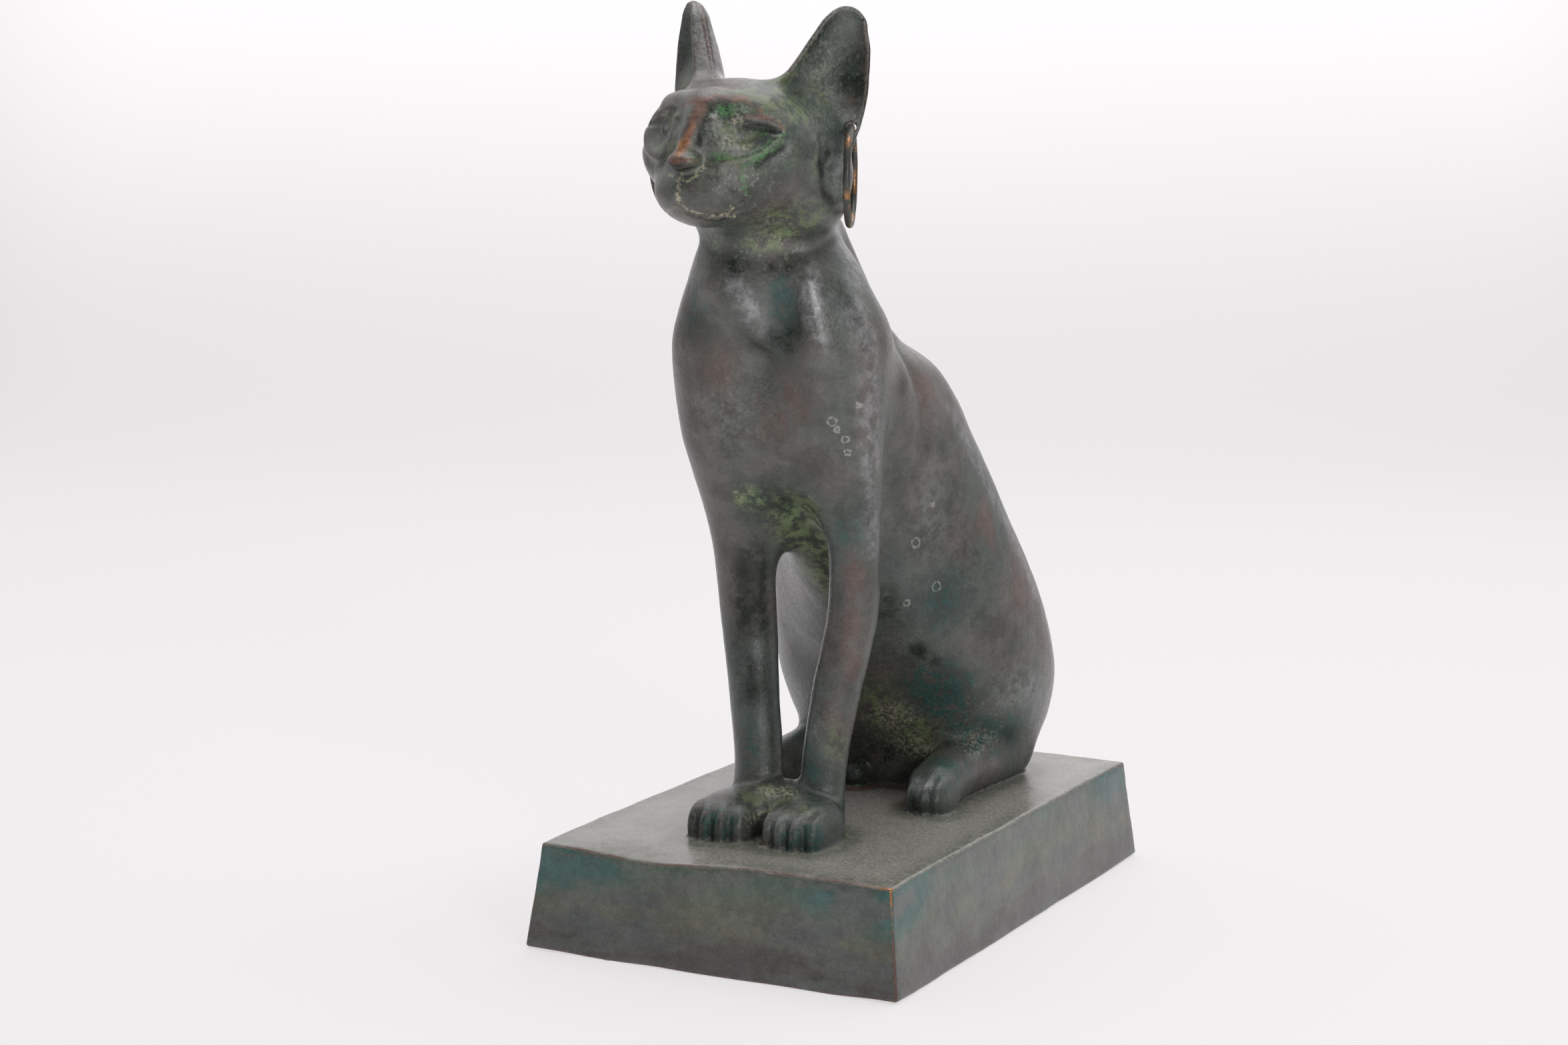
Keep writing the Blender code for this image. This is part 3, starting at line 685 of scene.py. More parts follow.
# Patches on the head: strength, then centre and radii along x, y and z
HEAD_PATCHES = {
    # The black spots under the nose and on the side of the muzzle are painted shade.
    "black": [
        (0.9, 0.2, -20.6, -13.0, 4.4, 3, 1.6), (0.55, 14, -9, -20, 9, 9, 6), (0.45, 22, 2, -12, 6, 9, 6),
        (0.5, -11.6, -10, 0.4, 3.6, 5, 3.0), (0.9, 30, 26, 13, 7, 9, 12), (0.6, 26, 19, 22, 10, 12, 14),
        (0.7, 19, 12, 12, 4, 6, 5),
    ],
    # The haze spots on the cat's right side of the face (x below 0) are painted light too.
    "haze": [
        (0.8, -16, -2, -8, 6, 8, 7), (0.6, -8, -6, 10, 8, 8, 4), (0.7, 27, 12, -2, 5, 5, 6),
        (0.9, 24, 12, 8, 6, 6, 6), (0.55, 10.6, -12.6, -13, 4, 4, 2.4), (0.6, 26, 12, 4, 6, 7, 4),
        (0.5, 29, 20, 7, 3.6, 5, 6), (0.95, 27, 24, -11, 6, 8, 7), (0.7, -10, -8, -14, 9, 8, 7),
    ],
    # painted reflection, lightening the back of the right ear
    "sheen": [
        (0.95, -18, 23, 18, 6, 7, 18),
    ],
    "pale": [
        (0.9, 27, 16, 5, 4, 5, 5), (1.0, 6.8, -13.2, -0.8, 2.4, 3, 4.8),
        (0.9, 11.4, -11.4, -4.6, 4.6, 4, 3.2), (0.8, 13.6, -8.6, 4.6, 2.6, 3, 2.0),
        (0.8, -9.6, -10.6, -4.2, 3.6, 3, 1.8), (0.7, 26, 13, 3, 4, 5, 3),
    ],
    "moss": [
        (0.5, 0, 0, -6, 26, 20, 14), (0.95, 15, -3, 8, 9, 8, 4.4), (0.9, 22, 6, 6, 8, 10, 7),
        (0.75, 16, 8, 13, 8, 10, 5), (0.6, 12, -9.6, -3, 8, 6, 6), (0.75, -10, -10.5, 1, 5, 5, 4.4),
        (0.6, -9, -9, -6, 8, 8, 4), (0.45, 11, -12, -9, 5, 6, 4), (0.55, 24, 18, 12, 7, 9, 9),
        (0.45, 27, 12, -9, 4, 6, 6), (0.55, 20, 12, -26, 13, 14, 6), (0.6, -30, 22, 8, 6, 7, 12),
    ],
    "crust": [
        (0.38, 24, 18, 18, 8, 10, 14), (0.55, 11.4, -11, -4.4, 2.6, 3, 2.0),
        (0.45, 15.4, -8.8, -5.4, 3.4, 3, 1.8), (0.5, -9.6, -10.6, -3.4, 3.2, 3, 1.6),
        (0.45, 12.6, -9.4, 1.4, 3.4, 3, 2.2), (0.3, 18, 4, -27, 16, 16, 3),
    ],
    "grit": [
        (0.8, 24, 18, 20, 9, 11, 14), (0.9, 15, -7, -14, 9, 9, 7), (0.9, 12, -10, -3, 7, 6, 6),
        (0.8, 14, 6, -26, 14, 16, 5),
    ],
    "malachite": [
        (0.8, 9.8, -10, 3.8, 4.6, 3.8, 2.6), (0.5, 19, -5, -1.6, 3.4, 3.4, 2.0),
        (0.45, 4.6, -17.6, -9.6, 2.2, 2.6, 3.0), (0.4, 24, 0, -10, 4, 5, 2.6), (0.4, 20, 16, 19, 3.4, 5, 3),
        (0.35, 25, 22, 22, 5, 7, 7),
    ],
    "umber": [
        (0.55, 2, -4, 11, 12, 10, 4), (0.6, 29, 27, 6, 4, 6, 5), (0.9, 33, 24, 20, 3.4, 6, 13),
        (0.8, 25, 18, 20, 4, 6, 5), (0.6, 20, 12, 33, 8, 8, 3),
    ],
}

# Patches on the body, in world places
BODY_PATCHES = {
    "lime": [
        (0.85, 3, -42, 130, 8, 10, 6), (0.8, 2, -34, 120, 8, 10, 8), (0.55, -10, -53, 137, 5, 6, 4),
        (0.5, 0, -22, 108, 8, 10, 8), (0.34, 4, -71, 216, 10, 8, 4), (0.45, 12, 16, 50, 8, 8, 5),
    ],
    # painted glints on the tops of the forepaws' toes and of the left hind foot
    "sheen": [
        (0.9, 14, -73, 42.5, 9, 5, 3), (0.7, -12, -72, 44, 9, 6, 2.5), (0.7, 29, -8, 43, 5, 8, 2.5),
    ],
    "moss": [
        (1.0, 4.6, -48.8, 134, 8, 10, 6), (1.0, 1, -38, 126, 9, 14, 9), (0.9, -1, -24, 112, 11, 14, 13),
        (0.6, -12, -53, 136, 6, 6, 5), (0.62, 3, -71, 214, 10, 8, 4), (0.6, 8, -70, 218, 9, 8, 3),
        (0.5, -13, -66, 216, 6, 8, 5), (0.55, 4, 12, 62, 12, 12, 12), (0.8, 14, 17, 52, 9, 10, 8),
        (0.7, 0, -58, 45, 12, 8, 5), (0.5, 14, -64, 44, 7, 6, 3), (0.5, -9, -49, 96, 3, 6, 8),
        (0.5, 17, -48, 62, 5, 6, 7),
    ],
    "crust": [
        (0.6, 1, -66, 41, 5, 7, 4), (0.55, 2, -56, 47, 9, 5, 3), (0.55, 14, 18, 47, 10, 8, 6),
        (0.4, 5, 16, 42, 14, 8, 6), (0.3, 4, -70, 215, 12, 8, 5), (0.33, -13, -66, 217, 9, 9, 6),
        (0.35, -14, -53, 137, 4, 5, 3), (0.36, 8, 14, 58, 14, 12, 10), (0.34, 34, 26, 50, 12, 16, 8),
    ],
    # The black spots under the chin at the throat, behind the left foreleg and under the belly between the
    # hind legs are painted shade.
    "black": [
        (0.6, 5, -69, 209, 10, 8, 4), (0.5, -6, -70, 218, 10, 8, 5), (0.55, 6, -66, 186, 9, 8, 9),
        (0.45, -20, -60, 186, 7, 10, 12), (1.0, 20.5, 5.6, 83, 2.8, 4.4, 3.8),
        (0.9, 24, 9.9, 79, 2.4, 3.4, 2.6), (0.7, 16, -8, 96, 5, 10, 16), (1.0, -12.5, -47, 106, 6.5, 8, 19),
        (0.75, -10.5, -48.6, 80, 3.5, 5, 14), (0.5, 13, 4, 66, 7, 10, 10), (0.6, 0, 22, 44, 14, 10, 5),
        (0.85, -7, 18, 38, 6, 7, 6), (0.7, 28, -11, 37, 7, 5, 4), (0.8, -8, -70, 208, 7, 8, 4),
        (0.6, 6, -69, 208, 8, 8, 4), (0.5, 40, 42, 50, 8, 12, 4),
    ],
    "teal": [
        (0.95, 38, 32, 53, 16, 22, 8), (0.9, 24, 16, 68, 12, 14, 12), (0.6, 32, 6, 44, 9, 14, 6),
        (0.75, -13, -70, 38, 10, 7, 6), (0.8, 17, -71, 37, 9, 7, 6), (0.6, 10, -50, 56, 6, 6, 9),
        (0.6, -11, -51, 58, 5, 8, 12), (0.9, 7, -67, 196, 4.5, 6, 11), (0.5, 20, -50, 128, 6, 8, 8),
        (0.6, -20, -62, 196, 8, 10, 12), (0.5, 28, 6, 100, 8, 10, 14), (0.9, -38, 28, 50, 20, 34, 12),
        (0.8, 0, 92, 48, 40, 16, 14),
    ],
    "haze": [
        (0.5, 27, -2, 128, 6, 12, 18), (0.9, 15, -73, 40, 10, 8, 6), (0.6, -10, -70, 43, 8, 8, 3),
        (0.6, 12, -50, 62, 6, 6, 10), (0.5, 28, -10, 41, 5, 6, 4), (0.8, 43, 38, 66, 8, 16, 9),
        (0.6, 34, 4, 45, 5, 9, 3), (0.35, -14, -60, 160, 14, 12, 12), (0.35, -24, 10, 130, 12, 20, 30),
    ],
    "umber": [
        (0.9, 30, -56, 181, 4.5, 7, 14), (0.7, 30, -53, 158, 4.5, 7, 14), (0.8, 22, -47, 116, 4, 8, 14),
        (0.9, 22, -46, 94, 4.5, 8, 14), (0.7, 17, -49, 72, 4, 7, 10), (0.8, 24.5, -1, 167, 5, 8, 9),
        (0.9, 34.7, 26, 124, 6, 8, 12), (0.9, 40.6, 44, 100, 5, 10, 12), (0.5, 46, 56, 84, 5, 12, 12),
        (0.7, 2, -61, 166, 15, 8, 12), (0.5, -14, -62, 176, 10, 10, 14), (0.6, 0, 55, 150, 26, 26, 34),
        (0.5, -30, 30, 120, 12, 26, 30), (0.6, 0, -24, 214, 12, 16, 16), (0.6, -14, -72, 43, 8, 7, 2.5),
        (0.5, 12, -66, 44, 6, 5, 2.5),
    ],
    "grit": [
        (0.9, 10, 16, 54, 18, 14, 12), (0.6, 0, -60, 42, 26, 18, 6), (0.5, 0, -70, 210, 24, 12, 10),
        (0.5, 34, 28, 60, 14, 20, 14), (0.4, -14, -60, 165, 16, 10, 18),
    ],
}

# Painted highlights on the body: lighter, partly metallic strokes where the lamps would shine on the
# breast, the shoulder, the side of the neck and the back, in world places
BODY_STROKES = {
    "sheen": [
        (0.85, 4.4, [(-8, -71, 204), (-4, -71, 199.5), (-1.6, -70, 194.5)]),
        (0.7, 3.0, [(-1.6, -70, 194.5), (1.2, -69, 189)]),
        (0.85, 4.6, [(15.6, -68, 207), (17, -67.8, 200), (18.4, -67.5, 194)]),
        (0.62, 3.2, [(18.4, -67.5, 194), (19, -66, 187)]),
        (0.75, 4.6, [(27, -57, 196), (30.5, -56, 184.5), (31.7, -54.6, 168.7), (30.5, -51.3, 148.4)]),
        (0.55, 3.4, [(30.5, -51.3, 148.4), (27, -44, 122)]),
        (0.7, 5.0, [(20, -51, 202), (24, -46, 212), (24, -44, 222)]),
        (0.6, 4.0, [(26, 14, 160), (32, 30, 140), (38, 45, 118), (42, 55, 98)]),
    ],
}

# Drops that dried on the shoulder and the flank: centre and radius of each ring left behind
DRIED_DROPS = [
    ((28.4, -57.8, 166.8), 1.3), ((30.2, -57, 163.0), 0.9), ((20.7, -60.7, 162.1), 1.3),
    ((22.0, -60.2, 159.6), 1.0), ((24.1, -58.4, 156.7), 1.1), ((24.6, -57.6, 152.6), 1.3),
    ((33.2, -46.3, 148.1), 1.0), ((30.8, -53, 150.2), 0.8), ((30.7, -42.7, 133.4), 1.2),
    ((25.6, -2.5, 157.8), 1.0), ((24, -4.9, 119), 1.6), ((27.4, 3.5, 104.3), 1.5), ((20, -2.9, 99.3), 1.0),
    ((33.0, -46, 140.6), 0.8), ((26, 0, 131), 1.3),
]


def laid(path, step=1.5):
    """A path drawn in short steps, each laid on the nearest skin."""
    corners = np.array(path, float)
    lengths = np.linalg.norm(np.diff(corners, axis=0), axis=1)
    along = np.concatenate([[0], np.cumsum(lengths)])
    stops = np.linspace(0, along[-1], max(2, int(along[-1] / step) + 1))
    points = np.stack([np.interp(stops, along, corners[:, axis]) for axis in range(3)], axis=1)
    for _ in range(4):
        slope = gradient(cat, points)
        points -= slope * (evaluated(cat, points) / (slope ** 2).sum(axis=1))[:, None]
    return [tuple(point) for point in points]


def rows_of(table):
    """The rows of a grouped table, each with its kind in front."""
    return [(kind, *row) for kind, rows in table.items() for row in rows]


def masks(points):
    """How strongly each kind of patina, painted highlight and painted shade shows at each point, from 0 to
    1.
    """
    point = points.T
    place = to_head(point)
    on_head = dab(place, (0, 6, -2), (60, 60, 46)) > HEAD_REACH
    close = np.flatnonzero(on_head)
    kinds = set().union(HEAD_STROKES, HEAD_PATCHES, BODY_PATCHES, BODY_STROKES)
    paints = {kind: np.zeros(len(points)) for kind in sorted(kinds)}

    def add(kind, spot, where=slice(None)):
        paints[kind][where] = np.maximum(paints[kind][where], spot)

    for kind, strength, width, path in rows_of(HEAD_STROKES):
        path = laid([from_head(corner) for corner in path])
        add(kind, strength * stroke(point[:, close], path, width), close)
    for kind, strength, width, path in rows_of(BODY_STROKES):
        add(kind, strength * stroke(point, laid(path, 6), width))
    for kind, strength, *spot in rows_of(HEAD_PATCHES):
        add(kind, strength * dab(place, spot[:3], spot[3:]) * on_head)
    for kind, strength, *spot in rows_of(BODY_PATCHES):
        add(kind, strength * dab(point, spot[:3], spot[3:]))
    x, y, z = to_right_ear(*place)
    deep = profile(z, EAR, 3) * RIGHT_EAR_DEPTH
    seam = seam_lines(*ear_place(x, y, z), deep, z) * (z < EAR_TOP + 1)
    paints["seam"] = seam * (dab((x, y, z), (28, 24, 18), (14, 14, 26)) > 0.3)
    return paints


def plinth_masks(points):
    """Smooth measures that the material of the plinth works from, in millimetres."""
    point = points.T
    side, end, top, under = plinth_gaps(point)
    near_cat = evaluated(cat, points)
    return {"side_gap": side, "end_gap": end, "top_gap": top, "under_gap": under, "cat_gap": near_cat}


def bending(points, reach=0.9):
    """How sharply the skin bends: above 0 on ridges and edges, below 0 in hollows."""
    around = sum(ahead + behind for ahead, behind in pairs_around(casting, points, reach))
    return (around - 6 * evaluated(casting, points)) / reach


# ---------------------------------------------------------------- materials
class Nodes:
    """A short hand for building a shader: each call adds a node and returns its output."""

    def __init__(self, owner):
        owner.use_nodes = True
        self.owner = owner
        self.tree = owner.node_tree
        self.shader = self.tree.nodes.get("Principled BSDF")

    def add(self, kind, output=0, inputs=None, **settings):
        node = self.tree.nodes.new("ShaderNode" + kind)
        for key, value in settings.items():
            setattr(node, key, value)
        for key, value in (inputs or {}).items():
            self.feed(node.inputs[key], value)
        return node.outputs[output]

    def feed(self, socket, value):
        if isinstance(value, bpy.types.NodeSocket):
            self.tree.links.new(value, socket)
        elif isinstance(value, tuple) and socket.type == "RGBA":
            socket.default_value = (*value, 1)
        else:
            socket.default_value = value

    def math(self, operation, a, b=0.0, c=0.0):
        return self.add("Math", inputs={0: a, 1: b, 2: c}, operation=operation)

    def times(self, a, b):
        return self.math("MULTIPLY", a, b)

    def most(self, a, b):
        return self.math("MAXIMUM", a, b)

    def mix(self, amount, a, b):
        return self.add("Mix", 2, {0: amount, 6: a, 7: b}, data_type="RGBA")

    def coat(self, colour, tint, cover, thickest):
        """A tint laid over the colour, this thick where the cover is 1."""
        return self.mix(self.times(cover, thickest), colour, tint)

    def place(self, stretch=(1, 1, 1)):
        """Position on the object in metres, with each axis scaled."""
        where = self.add("TexCoord", 3)
        if stretch == (1, 1, 1):
            return where
        return self.add("VectorMath", 0, {0: where, 1: stretch}, operation="MULTIPLY")

    def away_from(self, centre):
        """Distance in metres from a place given in millimetres."""
        centre = tuple(c * MM for c in centre)
        return self.add("VectorMath", 1, {0: self.place(), 1: centre}, operation="DISTANCE")

    def noise(self, scale, detail=4.0, roughness=0.55, low=0.36, high=0.64, stretch=(1, 1, 1)):
        """Fractal noise, spread so that it runs from 0 to 1."""
        raw = self.add("TexNoise", 0, {"Vector": self.place(stretch), "Scale": scale,
                                       "Detail": detail, "Roughness": roughness})
        return self.ramp(raw, low, high)

    def ramp(self, value, low, high, to_low=0.0, to_high=1.0):
        return self.add("MapRange", 0, {0: value, 1: low, 2: high, 3: to_low, 4: to_high},
                        interpolation_type="SMOOTHSTEP")

    def mask(self, name):
        return self.add("Attribute", 2, attribute_name=name)

    def ragged(self, mask, noise, reach=0.9, soft=0.2):
        """A painted mask whose border is broken up by a noise."""
        level = self.math("MULTIPLY", mask, self.ramp(noise, 0, 1, 1 - reach, 1 + reach))
        return self.ramp(level, 0.5 - soft, 0.5 + soft)

    def shade(self, colour, noise, low, high):
        """The colour, made darker or lighter by a noise."""
        value = self.ramp(noise, 0, 1, low, high)
        return self.add("VectorMath", 0, {0: colour, "Scale": value}, operation="SCALE")


def bronze():
    """Old cast bronze: a thin satin patina of many greens and browns over the metal, with highlights and
    shade painted into its colour.
    """
    nodes = Nodes(bpy.data.materials.new("patinated_bronze_finish"))
    broad = nodes.noise(26, 3, 0.5)
    cloud = nodes.noise(85, 5, 0.6)
    mottle = nodes.noise(260, 6, 0.7)
    fine = nodes.noise(900, 5, 0.7)
    grain = nodes.noise(2400, 2, 0.6)
    speck = nodes.noise(700, 2, 0.5, 0.60, 0.68)
    streak = nodes.noise(70, 5, 0.62, stretch=(0.5, 0.5, 1.7))
    colour = nodes.mix(broad, (0.084, 0.072, 0.062), (0.048, 0.064, 0.053))
    colour = nodes.coat(colour, (0.032, 0.040, 0.035), cloud, 0.55)
    layers = [
        ("umber", (0.098, 0.062, 0.051), cloud, 0.5, 0.45, 0.85),
        # painted highlight: a light grey, also made partly metallic below
        ("sheen", (0.190, 0.190, 0.188), mottle, 0.3, 0.5, 0.9),
        # haze: a pale grey-green patina, and painted light on the right side of the face
        ("haze", (0.115, 0.130, 0.118), mottle, 0.6, 0.45, 0.75),
        ("teal", (0.020, 0.054, 0.047), mottle, 0.8, 0.35, 0.95),
        ("moss", (0.092, 0.118, 0.058), mottle, 0.8, 0.40, 0.9),
        ("lime", (0.150, 0.195, 0.105), mottle, 0.8, 0.46, 0.85),
        # black: dark patina, and painted shade where the tables put it in shadow
        ("black", (0.013, 0.017, 0.013), mottle, 0.6, 0.40, 0.95),
        ("rust", (0.125, 0.064, 0.043), mottle, 0.35, 0.40, 0.88),
        ("seam", (0.115, 0.060, 0.052), fine, 0.4, 0.3, 0.85),
        ("malachite", (0.052, 0.135, 0.048), fine, 0.7, 0.35, 0.85),
        ("pale", (0.135, 0.150, 0.130), fine, 0.6, 0.45, 0.8),
        ("crust", (0.270, 0.262, 0.180), fine, 0.8, 0.26, 0.88),
    ]
    for name, tint, noise, reach, soft, most in layers:
        cover = nodes.ragged(nodes.mask(name), noise, reach, soft)
        colour = nodes.coat(colour, tint, cover, most)
    colour = plinth_colour(nodes, colour, streak, mottle, fine)
    colour = nodes.shade(colour, mottle, 0.88, 1.12)
    colour = nodes.shade(colour, fine, 0.88, 1.12)
    dusty = nodes.most(nodes.mask("grit"), nodes.ramp(broad, 0.4, 1.0, 0.02, 0.10))
    colour = nodes.coat(colour, (0.17, 0.19, 0.14), speck, dusty)
    colour = nodes.mix(dried_drops(nodes, fine), colour, (0.36, 0.36, 0.34))
    ridge = nodes.ragged(nodes.mask("ridge"), fine, 0.5, 0.4)
    colour = nodes.coat(colour, (0.13, 0.105, 0.085), ridge, 0.5)
    # painted shade: the hollows of the skin are darkened towards black
    painted_crevice_shade = nodes.ragged(nodes.mask("hollow"), fine, 0.5, 0.4)
    colour = nodes.coat(colour, (0.016, 0.018, 0.014), painted_crevice_shade, 0.55)
    edge = plinth_edge(nodes, fine, cloud)
    bright = nodes.ramp(nodes.away_from(PLINTH_CORNER), 0.014, 0.002)
    colour = nodes.coat(colour, (0.105, 0.046, 0.034), edge, 0.85)
    worn = nodes.most(nodes.ragged(nodes.mask("copper"), mottle, 0.4, 0.5), nodes.times(edge, bright))
    colour = nodes.coat(colour, (0.36, 0.175, 0.085), worn, 0.9)
    shader = nodes.shader
    nodes.feed(shader.inputs["Base Color"], colour)
    # where highlights are painted the skin is also made partly metallic, as is the bare worn copper
    painted_highlight_metal = nodes.ramp(nodes.mask("sheen"), 0.2, 1, 0, 0.45)
    bare = nodes.most(nodes.ramp(worn, 0.3, 1.0, 0.0, 0.85), painted_highlight_metal)
    nodes.feed(shader.inputs["Metallic"], bare)
    matt = nodes.most(nodes.mask("crust"), nodes.times(nodes.mask("moss"), 0.6))
    rough = nodes.ramp(fine, 0, 1, 0.20, 0.31)
    nodes.feed(shader.inputs["Roughness"], nodes.math("MULTIPLY_ADD", matt, 0.22, rough))
    height = nodes.math("MULTIPLY_ADD", fine, 0.5, mottle)
    height = nodes.math("MULTIPLY_ADD", grain, 0.15, height)
    strength = nodes.ramp(nodes.mask("cat_gap"), 0.2, 1.8, 1.0, 0.45)
    bump = nodes.add("Bump", 0, {"Strength": strength, "Distance": 0.06 * MM, "Height": height})
    nodes.feed(shader.inputs["Normal"], bump)
    dull = nodes.most(nodes.most(nodes.mask("black"), nodes.mask("teal")), matt)
    gloss = nodes.math("SUBTRACT", nodes.ramp(cloud, 0, 1, 0.54, 0.38), nodes.ramp(dull, 0.1, 0.9, 0, 0.26))
    nodes.feed(shader.inputs["Specular IOR Level"], gloss)
    shader.inputs["IOR"].default_value = 1.6
    return nodes.owner


def dried_drops(nodes, fine):
    """Thin pale rings where drops of water dried."""
    away = None
    for centre, radius in DRIED_DROPS:
        gap = nodes.math("ABSOLUTE", nodes.math("SUBTRACT", nodes.away_from(centre), radius * MM))
        away = gap if away is None else nodes.math("MINIMUM", away, gap)
    ring_width = nodes.ramp(fine, 0, 1, 0.05 * MM, 0.45 * MM)
    return nodes.times(nodes.math("LESS_THAN", away, ring_width), 0.5)


def plinth_colour(nodes, colour, streak, mottle, fine):
    """Teal along the top of the plinth's sides, olive and grey below, and dusty grit on its top."""
    x, y, z = (nodes.add("SeparateXYZ", axis, {0: nodes.place()}) for axis in range(3))
    across, along = nodes.math("ABSOLUTE", x), nodes.math("ABSOLUTE", y)
    cat_gap, top_gap = nodes.mask("cat_gap"), nodes.mask("top_gap")
    on_plinth = nodes.times(nodes.ramp(cat_gap, 0.2, 1.8), nodes.ramp(top_gap, 0.7, 0.3))
    side = nodes.mix(streak, (0.074, 0.082, 0.078), (0.108, 0.110, 0.070))
    corner = nodes.math("MINIMUM", nodes.mask("side_gap"), nodes.mask("end_gap"))
    corner = nodes.ramp(corner, -36, -4, 0.30, 1)
    teal = nodes.times(nodes.ramp(top_gap, -22, -3), corner)
    side = nodes.mix(nodes.ragged(teal, streak, 0.8, 0.46), side, (0.034, 0.088, 0.078))
    grey = nodes.times(nodes.ramp(z, 0.020, 0.004), 0.7)
    side = nodes.mix(nodes.ragged(grey, streak, 0.6, 0.4), side, (0.062, 0.058, 0.054))
    # The top is grey-tan dust, painted lighter than the dust alone to stand in for the bright reflection
    # its flat top catches.
    top = nodes.mix(mottle, (0.235, 0.224, 0.205), (0.200, 0.196, 0.168))
    top = nodes.mix(nodes.times(fine, 0.3), top, (0.30, 0.28, 0.25))
    rim = nodes.most(nodes.ramp(across, 0.046, 0.058), nodes.ramp(along, 0.080, 0.096))
    shade = nodes.most(nodes.times(rim, 0.6), nodes.ramp(cat_gap, 10, 1, 0, 0.95))
    top = nodes.mix(nodes.ragged(shade, mottle, 0.6, 0.45), top, (0.125, 0.130, 0.105))
    behind = nodes.times(nodes.ramp(y, -0.030, -0.005), nodes.ramp(across, 0.026, 0.012))
    rust = nodes.times(behind, nodes.ramp(cat_gap, 9, 1))
    top = nodes.mix(nodes.ragged(rust, fine, 0.8, 0.3), top, (0.12, 0.055, 0.045))
    gritty = nodes.times(nodes.ramp(cat_gap, 2.2, 0.6), nodes.ramp(y, -0.090, 0.020, 1.0, 0.5))
    top = nodes.mix(nodes.ragged(gritty, fine, 0.8, 0.3), top, (0.26, 0.25, 0.18))
    plinth = nodes.mix(nodes.ramp(top_gap, -1.1, -0.5), side, top)
    return nodes.mix(on_plinth, colour, plinth)


def plinth_edge(nodes, fine, cloud):
    """How bare the metal is on the plinth's front edges: where two of its faces are both close."""
    side, end, top, under = (nodes.mask(name) for name in ("side_gap", "end_gap", "top_gap", "under_gap"))
    face = nodes.most(top, under)
    middle = nodes.most(nodes.math("MINIMUM", side, end),
                        nodes.math("MINIMUM", nodes.most(side, end), face))
    line = nodes.times(nodes.ramp(middle, -0.9, -0.3), nodes.ramp(top, 1.2, 0.4))
    front = nodes.ramp(end, -2.5, -1.0, 0.35, 1.0)
    line = nodes.times(line, nodes.times(front, nodes.ramp(cloud, 0.1, 0.7, 0.4, 1.0)))
    return nodes.ragged(line, fine, 0.5, 0.35)


def copper_wire():
    nodes = Nodes(bpy.data.materials.new("worn_copper_wire_finish"))
    cloud = nodes.noise(190, 4, 0.6, 0.3, 0.7)
    fine = nodes.noise(900, 5, 0.6)
    bare = nodes.ramp(cloud, 0.45, 0.8)
    colour = nodes.mix(bare, (0.040, 0.040, 0.033), (0.26, 0.145, 0.075))
    colour = nodes.mix(nodes.ramp(fine, 0.3, 0.9, 0, 0.6), colour, (0.035, 0.042, 0.035))
    nodes.feed(nodes.shader.inputs["Base Color"], colour)
    nodes.feed(nodes.shader.inputs["Roughness"], nodes.ramp(fine, 0, 1, 0.3, 0.5))
    nodes.feed(nodes.shader.inputs["Metallic"], nodes.ramp(bare, 0, 1, 0.2, 0.9))
    return nodes.owner


# ---------------------------------------------------------------- the pieces
def detailed(points):
    """Which points belong to the face and the toes, where the mesh stays fine."""
    x, y, z = to_head(points.T)
    on_face = (y < 6) & (z > -32) & (np.abs(x) < 30)
    x, y, z = points.T
    on_toes = (y < -60) & (z > PLINTH_HEIGHT + 0.5) & (z < 48)
    return on_face | on_toes


def make_cat():
    low = (LOW[0] - 1.3, LOW[1] - 1.3, -1.3 * CELL)
    high = (HIGH[0] + 1.3, HIGH[1] + 1.3, HIGH[2] + 1.3)
    points, quads = surface_net(casting, low, high, CELL)
    points[:, 2] = np.where(points[:, 2] < 0.1, 0, points[:, 2])
    item = new_object("cat_casting", points, quads, bronze())
    thin = item.modifiers.new("Thin", "DECIMATE")
    thin.ratio = FIGURE_TRIANGLES / (2 * len(quads))
    group = item.vertex_groups.new(name="may_thin")
    group.add(np.flatnonzero(~detailed(points)).tolist(), 1.0, "REPLACE")
    thin.vertex_group = group.name
    thinned = item.evaluated_get(bpy.context.evaluated_depsgraph_get())
    item.data = bpy.data.meshes.new_from_object(thinned)
    item.modifiers.clear()
    item.vertex_groups.clear()
    points = positions(item.data)
    bend = bending(points) * (evaluated(cat, points) < 0.8)
    # the hollow mask drives the painted shade in the bronze's hollows; the ridge mask lightens worn edges
    relief = {"ridge": np.clip(bend / 1.1 - 0.25, 0, 1), "hollow": np.clip(-bend / 0.7 - 0.15, 0, 1)}
    for name, values in (masks(points) | plinth_masks(points) | relief).items():
        paint(item.data, name, values)
    item.data.shade_smooth()
    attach(item, "root")
    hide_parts("cat_statue")


def make_earring(side, material):
    (cx, cy, cz), radius, heading = RINGS[side]
    around, sides = 120, 20
    turn, bend = np.meshgrid(np.arange(around) * 2 * np.pi / around,
                             np.arange(sides) * 2 * np.pi / sides, indexing="ij")
    wire = RING_WIRE * (0.97 + 0.03 * np.sin(3 * turn + 1.3 * np.sin(5 * turn)))
    reach = radius + wire * np.cos(bend)
    ahead, aside = reach * np.sin(turn), wire * np.sin(bend)
    points = np.stack([cx + ahead * math.sin(heading) + aside * math.cos(heading),
                       cy - ahead * math.cos(heading) + aside * math.sin(heading),
                       cz + reach * np.cos(turn)], -1).reshape(-1, 3)
    number = np.arange(around * sides).reshape(around, sides)
    after = np.roll(number, -1, 0)
    faces = np.stack([number, after, np.roll(after, -1, 1), np.roll(number, -1, 1)], -1)
    item = new_object(side + "_earring_wire", points, faces.reshape(-1, 4), material)
    item.data.shade_smooth()
    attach(item, "root")
    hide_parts(side + "_earring")


